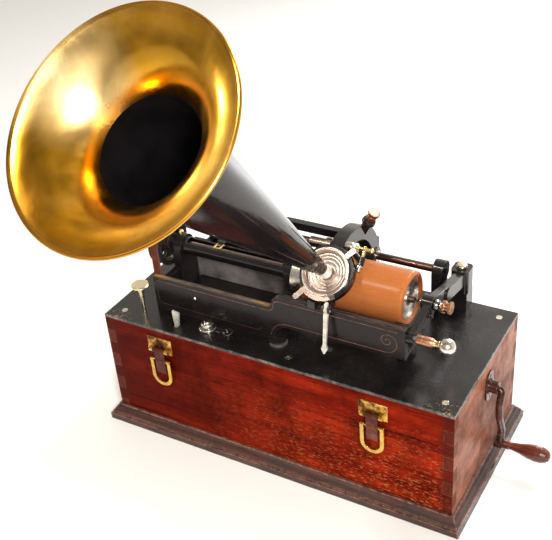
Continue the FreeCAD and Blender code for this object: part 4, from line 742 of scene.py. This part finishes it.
# ---------------------------------------------------------------- horn
def bell_profile():
    """The flared end in (radius, height): inside arc, rolled rim, outside arc."""
    throat_radius, rim_radius = 41.5, 88.6
    reach, depth = 350.0, 39.5
    wall, bead = 0.7, 1.5
    throat_angle = math.radians(22.0)
    throat = reach - depth
    chord = math.hypot(depth, rim_radius - throat_radius)
    chord_angle = math.atan2(rim_radius - throat_radius, depth)
    half = chord_angle - throat_angle
    sweep = chord / (2 * math.sin(half))
    centre_height = throat - sweep * math.sin(chord_angle - half)
    centre_radius = throat_radius + sweep * math.cos(chord_angle - half)
    first = chord_angle - half - math.pi / 2
    last = first + 2 * half

    def flare(radius, angle):
        return centre_radius + radius * math.sin(angle), centre_height + radius * math.cos(angle)

    steps = 44
    inside = [flare(sweep + wall, first + (last - first) * k / steps) for k in range(steps + 1)]
    outside = [flare(sweep, last + (first - last) * (k + 2) / steps) for k in range(steps - 1)]
    edge = math.degrees(math.atan2(inside[-1][1] - reach, inside[-1][0] - rim_radius))
    rim = arc((rim_radius, reach), bead, edge - 30, edge - 310, 14)
    return inside[:-1] + rim + outside


def make_horn():
    bell = lathe("bell", bell_profile(), "horn", "horn_gold", HEAD, 240, sharp=50)
    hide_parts("horn_bell")
    small_end, large_end, start, length = 7.0, 41.5, 12, 298.5
    steps = 30
    outer = [(small_end + (large_end - small_end) * k / steps, start + length * k / steps)
             for k in range(steps + 1)]
    inner = [(r - 0.7, h) for r, h in reversed(outer)]
    cone = lathe("cone", outer + inner, "horn", "horn_black", HEAD, 180, sharp=50)
    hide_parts("horn_cone")
    lining = [(r - 0.72, h) for r, h in outer]
    lining += [(r - 0.1, h) for r, h in reversed(lining)]
    # painted shade: a flat near-black lining just inside the cone darkens the inside of the horn
    lathe("horn_shade_lining", lining, "horn", "throat", HEAD, 120, sharp=60)
    ring_bead("bell_seam", 41.6, 309.6, 0.55, "horn", "horn_black", HEAD, 180)
    neck = [(5.3, -2), (6.6, -2), (6.8, -1.6), (6.8, 0), (7.2, 0.6), (7.2, 1.8), (6.8, 2.4), (6.8, 9.6),
            (7.15, 10), (7.15, 11.4), (6.9, 12), (5.3, 12)]
    ferrule = lathe("neck_ferrule", neck, "horn", "neck_nickel_and_highlight", HEAD, 96)
    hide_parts("horn_neck")


# ---------------------------------------------------------------- record and reproducer
def make_record():
    """The wax cylinder, with rounded ends and a thicker wall at the right."""
    outer = 27.8
    left, right = 13.7, 121.7
    left_wall, right_wall = 4.38, 5.58
    bore_left = outer - left_wall
    bore_right = outer - right_wall
    profile = [(bore_left, left), (outer - 1.0, left), (outer - 0.3, left + 0.3), (outer, left + 1.0)]
    steps = 24
    profile += [(outer, left + 1.0 + (right - left - 3.2) * k / steps) for k in range(1, steps + 1)]
    profile += [(outer - 0.35, right - 1.5), (outer - 1.1, right - 0.8), (outer - 2.0, right - 0.35),
                (outer - 2.6, right), (bore_right + 1.2, right), (bore_right, right - 0.8)]
    record = lathe("wax_record", profile, "mandrel_shaft", "wax",
                   axis_frame(MANDREL_AXIS, X_AXIS), 160, sharp=40)
    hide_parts("record_cylinder")


def make_reproducer():
    """Stepped rings on the dish, and a turned facing on the flat ring."""
    dish = [(19.4, -2.5), (18.8, -2.1), (17.8, -2.1), (17.3, -2.9), (16.2, -3.1), (15.8, -2.8),
            (14.9, -2.8), (14.4, -3.6), (12.6, -3.9), (12.2, -3.5), (11.2, -3.5), (10.7, -4.2),
            (9.0, -4.5), (8.6, -4.1), (7.4, -4.1), (7.0, -4.6), (5.1, -4.6), (5.1, -5.2), (8.0, -5.2),
            (14.0, -4.5), (19.4, -3.0)]
    lathe("dish_rings", dish, "carriage", "reproducer", HEAD, 144, sharp=25)
    facing = [(19.55, -2.2), (19.55, 0.25), (20.2, 0.45), (20.9, 0.15), (22.6, 0.12), (23.1, 0.4),
              (23.9, 0.4), (24.5, 0.05), (24.6, -0.8), (24.2, -1.2)]
    lathe("ring_facing", facing, "carriage", "reproducer", HEAD, 144, sharp=25)


# ---------------------------------------------------------------- painted lines on the casting
def level_run(start, end, height, steps=12):
    """Points along a level line, without its first one."""
    return [(start + (end - start) * k / steps, height) for k in range(1, steps + 1)]


def make_pinstripes():
    """Lines on the casting's front: under the rail, over the arch into a scroll, and along the foot."""
    front = -55.0
    plate = PLATE_TOP / MM
    inset = 4.0
    low_rail = plate + 40.0 - inset
    high_rail = plate + 53.5 - inset
    bend = (high_rail - low_rail) / 2
    bend_x = -13.0 + inset * 0.3
    left_end = -147
    upper = [(left_end, low_rail)] + [(-140 + 10 * k, low_rail) for k in range(12)]
    upper += arc((bend_x, low_rail + bend), bend, -90, 0, 10)
    upper += arc((bend_x + 2 * bend, low_rail + bend), bend, 180, 90, 10)[1:]
    upper += level_run(bend_x + 2 * bend, 128, high_rail)
    ribbon("upper_stripe", upper, 0.7, front, "case", "stripe")

    arch = 16.0
    arch_x = -6 + arch
    lower = arc((arch_x, plate + 4), arch + inset, 172, 90, 10)
    lower += level_run(arch_x, 116, plate + 20.0 + inset)
    scroll_x, scroll_z = 117.5, plate + 37.5
    scroll_radii = (13.5, 9.6, 6.8, 6.0, 4.6, 3.2, 2.2, 1.3)
    quarter = 12
    for k in range(1, quarter * (len(scroll_radii) - 1) + 1):
        turn = min(k // quarter, len(scroll_radii) - 2)
        share = k / quarter - turn
        radius = scroll_radii[turn] * (1 - share) + scroll_radii[turn + 1] * share
        angle = math.radians(-90 + 90 * k / quarter)
        lower.append((scroll_x + radius * math.cos(angle), scroll_z + radius * math.sin(angle)))
    ribbon("lower_stripe", lower, 0.7, front, "case", "stripe")

    foot = plate + 8.5
    left = [(left_end, foot + 26), (left_end, foot + 6)] + arc((-141, foot + 6), 6, 180, 270, 8)
    left += [(-141 + 10 * k, foot) for k in range(1, 12)] + arc((-26, foot + 5), 5, -90, 0, 6)
    ribbon("left_stripe", left, 0.6, front, "case", "faint_stripe")


# ---------------------------------------------------------------- small fittings
def make_front_pin():
    pin = [(0, 0.9), (0.7, 0.75), (1.2, 0.35), (1.45, 0), (1.45, -0.4), (0, -0.4)]
    pin_place = (-0.0998, -0.055, 0.1664)
    lathe("front_pin", pin, "case", "nickel", axis_frame(pin_place, (0, -1, 0)), 24)


def make_set_screw():
    """The knurled screw that leans out of the top of the arch, and its boss."""
    lean = math.radians(30.0)
    screw_axis = axis_frame((0.048, 0.040, 0.229), (math.sin(lean), 0, math.cos(lean)))
    boss = [(3.2, 14.0), (6.9, 14.0), (7.2, 14.6), (6.9, 17.6), (6.2, 18.6), (5.0, 19.1), (3.2, 19.1)]
    lathe("set_screw_boss", boss, "carriage", "enamel", screw_axis, 56)
    knob = [(0, 9.0), (2.0, 9.0), (2.0, 19.3), (4.9, 19.3), (5.1, 19.6, 1), (5.1, 23.4, 1), (4.9, 23.7),
            (4.3, 24.2), (4.5, 25.2), (5.8, 26.1), (6.35, 26.8, 1), (6.35, 28.4, 1), (6.0, 29.0),
            (5.2, 29.25), (2.6, 29.25), (2.2, 28.9), (0, 28.9)]
    set_knob = lathe("set_screw_knurl", knob, "carriage_screw", "copper", screw_axis,
                     teeth=30, depth=0.35)
    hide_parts("set_screw")


def make_centre_screw():
    """The pointed centre that carries the mandrel's end, and its double knurled spool."""
    centre_axis = axis_frame((0.125, MANDREL_AXIS.y, MANDREL_AXIS.z), X_AXIS)
    point = [(0, 0), (2.6, 5), (3.0, 5), (3.0, 19.4), (5.0, 19.4), (5.7, 20.2), (5.8, 21.5), (5.4, 23.0),
             (4.2, 24.4), (3.0, 25.0), (2.6, 26.0), (2.6, 27.4), (0, 27.4)]
    centre_point = lathe("centre_point", point, "gate_screw", "dark_nickel", centre_axis, 48)
    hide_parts("centre_screw")
    spool = [(0, 27.0), (6.1, 27.0), (6.4, 27.3, 1), (6.4, 29.7, 1), (6.1, 30.0), (4.75, 30.2),
             (4.75, 33.3), (6.1, 33.5), (6.4, 33.8, 1), (6.4, 36.0, 1), (6.1, 36.4), (3.0, 36.5),
             (2.6, 36.2), (0, 36.2)]
    lathe("spool_knurl", spool, "gate_screw", "copper", centre_axis, teeth=34, depth=0.4)


def make_latch():
    """The gate's sprung latch: rod, copper barrel, brass neck and ball."""
    latch_axis = axis_frame((0.1325, -0.048, 0.184), X_AXIS)
    rod = [(0, 0), (1.6, 0), (2.2, 0.6), (2.2, 12.2), (0, 12.2)]
    latch_rod = lathe("latch_rod", rod, "gate_latch", "nickel", latch_axis, 40)
    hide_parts("latch_plunger")
    barrel = [(0, 12.0), (4.1, 12.0), (4.7, 12.6), (4.8, 13.2), (4.8, 18.0), (4.55, 18.2), (4.55, 18.8),
              (4.8, 19.0), (4.8, 26.4), (4.5, 27.4), (3.9, 28.4), (3.3, 29.4), (0, 29.4)]
    lathe("latch_barrel", barrel, "gate_latch", "barrel_copper", latch_axis, 56)
    neck = [(0, 29.2), (3.5, 29.2), (3.1, 30.4), (2.9, 31.4), (3.0, 33.0), (3.6, 33.9), (3.4, 34.6),
            (0, 34.8)]
    lathe("latch_neck", neck, "gate_latch", "brass", latch_axis, 40)
    ball = [(0, 33.6), *arc((0, 41.5), 8, -72, 84, 26), (0, 49.5)]
    lathe("latch_ball", ball, "gate_latch", "nickel", latch_axis, 56)


def make_start_control():
    """Turned rings on the start knob, and three pins on its arm."""
    knob_axis = axis_frame((-0.080, -0.0655, PLATE_TOP), Z_AXIS)
    steps = [(0, 0.5), (9.15, 0.5), (9.15, 2.4), (8.9, 2.9), (8.3, 3.2), (7.3, 3.3), (6.8, 3.6), (6.8, 6.8),
             (6.4, 7.5), (5.8, 7.95), (4.3, 8.0), (3.4, 7.8), (3.1, 8.1), (3.1, 9.2), (2.7, 9.75), (0, 9.9)]
    lathe("start_knob_rings", steps, "start_control", "nickel", knob_axis, 72, sharp=40)
    large = [(0, 2.0), (1.0, 2.0), (1.0, 3.5), (0.7, 3.9), (0, 4.0)]
    small = [(0, 2.0), (0.7, 2.0), (0.7, 3.4), (0.4, 3.7), (0, 3.8)]
    pins = ((-0.0560, -0.0655, large), (-0.0585, -0.0630, small), (-0.0585, -0.0680, small))
    for k, (x, y, dome) in enumerate(pins):
        lathe(f"start_arm_pin_{k}", dome, "start_control", "nickel",
              axis_frame((x, y, PLATE_TOP), Z_AXIS), 20)


def make_plate_fittings():
    """The disc at the foot of the casting's arch, and the cap on the gate's pivot."""
    foot = [(0, 0), (9.4, 0), (9.6, 0.4), (9.5, 1.5), (8.8, 2.6), (7.4, 3.0), (0, 3.0)]
    lathe("arch_foot", foot, "case", "foot_enamel_and_highlight",
          axis_frame((-0.001, -0.0565, PLATE_TOP), Z_AXIS), 72)
    cap = [(0, 46.3), (5.5, 46.3), (5.8, 46.8), (5.8, 48.6), (5.2, 49.4), (3.4, 49.9), (0, 50.1)]
    lathe("gate_pivot_cap", cap, "case", "cream_brass",
          axis_frame((0.140, 0.079, PLATE_TOP), Z_AXIS), 56)


def make_shaver_fittings():
    boss = [(0, 52.5), (5.2, 52.5), (5.35, 52.9), (5.35, 59.4), (4.9, 60.1), (2.6, 60.4), (0, 60.4)]
    lathe("shaver_boss", boss, "carriage", "nickel", axis_frame((0, -0.0035, 0.2375), X_AXIS), 48)
    down = Vector((0, -math.sin(HORN_ELEVATION), -math.cos(HORN_ELEVATION)))
    tip = [(0, 17.0), (3.6, 17.0), (3.6, 18.6), (2.4, 19.4), (2.15, 20.0), (2.15, 22.4), (1.4, 23.1),
           (0, 23.1)]
    lathe("shaver_tip", tip, "carriage", "nickel", axis_frame((0.073, -0.0055, 0.2395), down), 40)


make_horn()
make_record()
make_reproducer()
make_pinstripes()
make_front_pin()
make_set_screw()
make_centre_screw()
make_latch()
make_start_control()
make_plate_fittings()
make_shaver_fittings()


# ---------------------------------------------------------------- studio
def make_studio():
    work = bmesh.new()
    bmesh.ops.create_grid(work, x_segments=8, y_segments=8, size=6.0)
    floor = bpy.data.objects.new("floor", finished_mesh("floor", work))
    bpy.context.scene.collection.objects.link(floor)
    floor.location.z = -0.0004
    floor.data.materials.append(pale_floor())


def direction(azimuth, elevation):
    """A unit vector at an azimuth from the front, positive to the right, and an elevation."""
    flat = math.cos(elevation)
    return Vector((math.sin(azimuth) * flat, -math.cos(azimuth) * flat, math.sin(elevation)))


def area_light(name, azimuth, elevation, distance, size, power, colour, target=(0.0, -0.02, 0.2)):
    """A soft box seen from the target at an azimuth from the front (to the right) and an elevation."""
    way = direction(math.radians(azimuth), math.radians(elevation))
    light = bpy.data.lights.new(name, "AREA")
    light.shape = "DISK"
    light.size = size
    light.energy = power
    light.color = colour
    lamp = bpy.data.objects.new(name, light)
    bpy.context.scene.collection.objects.link(lamp)
    lamp.location = Vector(target) + way * distance
    lamp.rotation_euler = way.to_track_quat("Z", "Y").to_euler()


def make_world():
    """White paper for the camera; for reflections, a room bright behind and dim and patchy in front."""
    world = bpy.data.worlds.new("studio")
    bpy.context.scene.world = world
    world.use_nodes = True
    tree = world.node_tree
    tree.nodes.clear()

    place = add_node(tree, "ShaderNodeTexCoord").outputs["Generated"]
    split = add_node(tree, "ShaderNodeSeparateXYZ", {0: place})
    height = add_node(tree, "ShaderNodeValToRGB", {0: split.outputs[2]})
    elements = height.color_ramp.elements
    elements[0].position, elements[0].color = 0.0, (0.62, 0.55, 0.46, 1)
    elements[1].position, elements[1].color = 0.95, (0.40, 0.37, 0.32, 1)
    low, high = elements.new(0.30), elements.new(0.62)
    low.color = (0.86, 0.83, 0.78, 1)
    high.color = (0.66, 0.62, 0.55, 1)

    def span(value, low, high, to_low, to_high, **settings):
        inputs = {"Value": value, "From Min": low, "From Max": high, "To Min": to_low, "To Max": to_high}
        return add_node(tree, "ShaderNodeMapRange", inputs, **settings).outputs[0]

    back = span(split.outputs[1], -0.35, 0.45, 0.42, 1.35, interpolation_type="SMOOTHSTEP")
    cloud = add_node(tree, "ShaderNodeTexNoise", {"Vector": place, "Scale": 2.6, "Detail": 3.0,
                                                  "Roughness": 0.6, "Distortion": 0.5})
    patches = span(cloud.outputs[0], 0.38, 0.62, 0.50, 1.45)
    strength = add_node(tree, "ShaderNodeMath", {0: back, 1: patches}, operation="MULTIPLY").outputs[0]
    towards = add_node(tree, "ShaderNodeVectorMath", {0: place, 1: GLOW_DIRECTION}, operation="DOT_PRODUCT")
    glow = span(towards.outputs["Value"], 0.80, 1.0, 0.0, 1.5, interpolation_type="SMOOTHSTEP")
    total = add_node(tree, "ShaderNodeMath", {0: strength, 1: glow}, operation="ADD").outputs[0]
    room = add_node(tree, "ShaderNodeBackground", {"Color": height.outputs[0], "Strength": total})
    paper = add_node(tree, "ShaderNodeBackground", {"Color": (0.97, 0.97, 0.97, 1)})
    camera_ray = add_node(tree, "ShaderNodeLightPath").outputs["Is Camera Ray"]
    mix = add_node(tree, "ShaderNodeMixShader", {0: camera_ray, 1: room.outputs[0], 2: paper.outputs[0]})
    add_node(tree, "ShaderNodeOutputWorld", {"Surface": mix.outputs[0]})


def make_camera():
    back = direction(CAMERA_AZIMUTH, CAMERA_ELEVATION)
    across = Z_AXIS.cross(back).normalized()
    up = back.cross(across)
    x = math.cos(CAMERA_ROLL) * across + math.sin(CAMERA_ROLL) * up
    y = math.cos(CAMERA_ROLL) * up - math.sin(CAMERA_ROLL) * across
    camera_data = bpy.data.cameras.new("camera")
    camera_data.lens = CAMERA_LENS
    camera_data.sensor_width = 36.0
    camera_data.clip_start = 0.01
    camera = bpy.data.objects.new("camera", camera_data)
    bpy.context.scene.collection.objects.link(camera)
    matrix = Matrix((x, y, back)).transposed().to_4x4()
    matrix.translation = CAMERA_PLACE
    camera.matrix_world = matrix
    bpy.context.scene.camera = camera


make_studio()
make_world()
area_light("flash", 38, 33, 1.15, 0.20, 11.0, FLASH_WHITE)
area_light("ceiling", -30, 55, 1.6, 0.12, 6.0, LAMP_YELLOW)
area_light("window", -78, 22, 1.5, 0.14, 3.0, LAMP_YELLOW)
area_light("rear", 160, 44, 1.5, 0.5, 16.0, WHITE)
area_light("floor_glow", 178, 60, 0.5, 0.35, 7.0, WHITE, target=(0.05, 0.95, 0.0))
make_camera()
bpy.context.scene.view_settings.view_transform = "Standard"
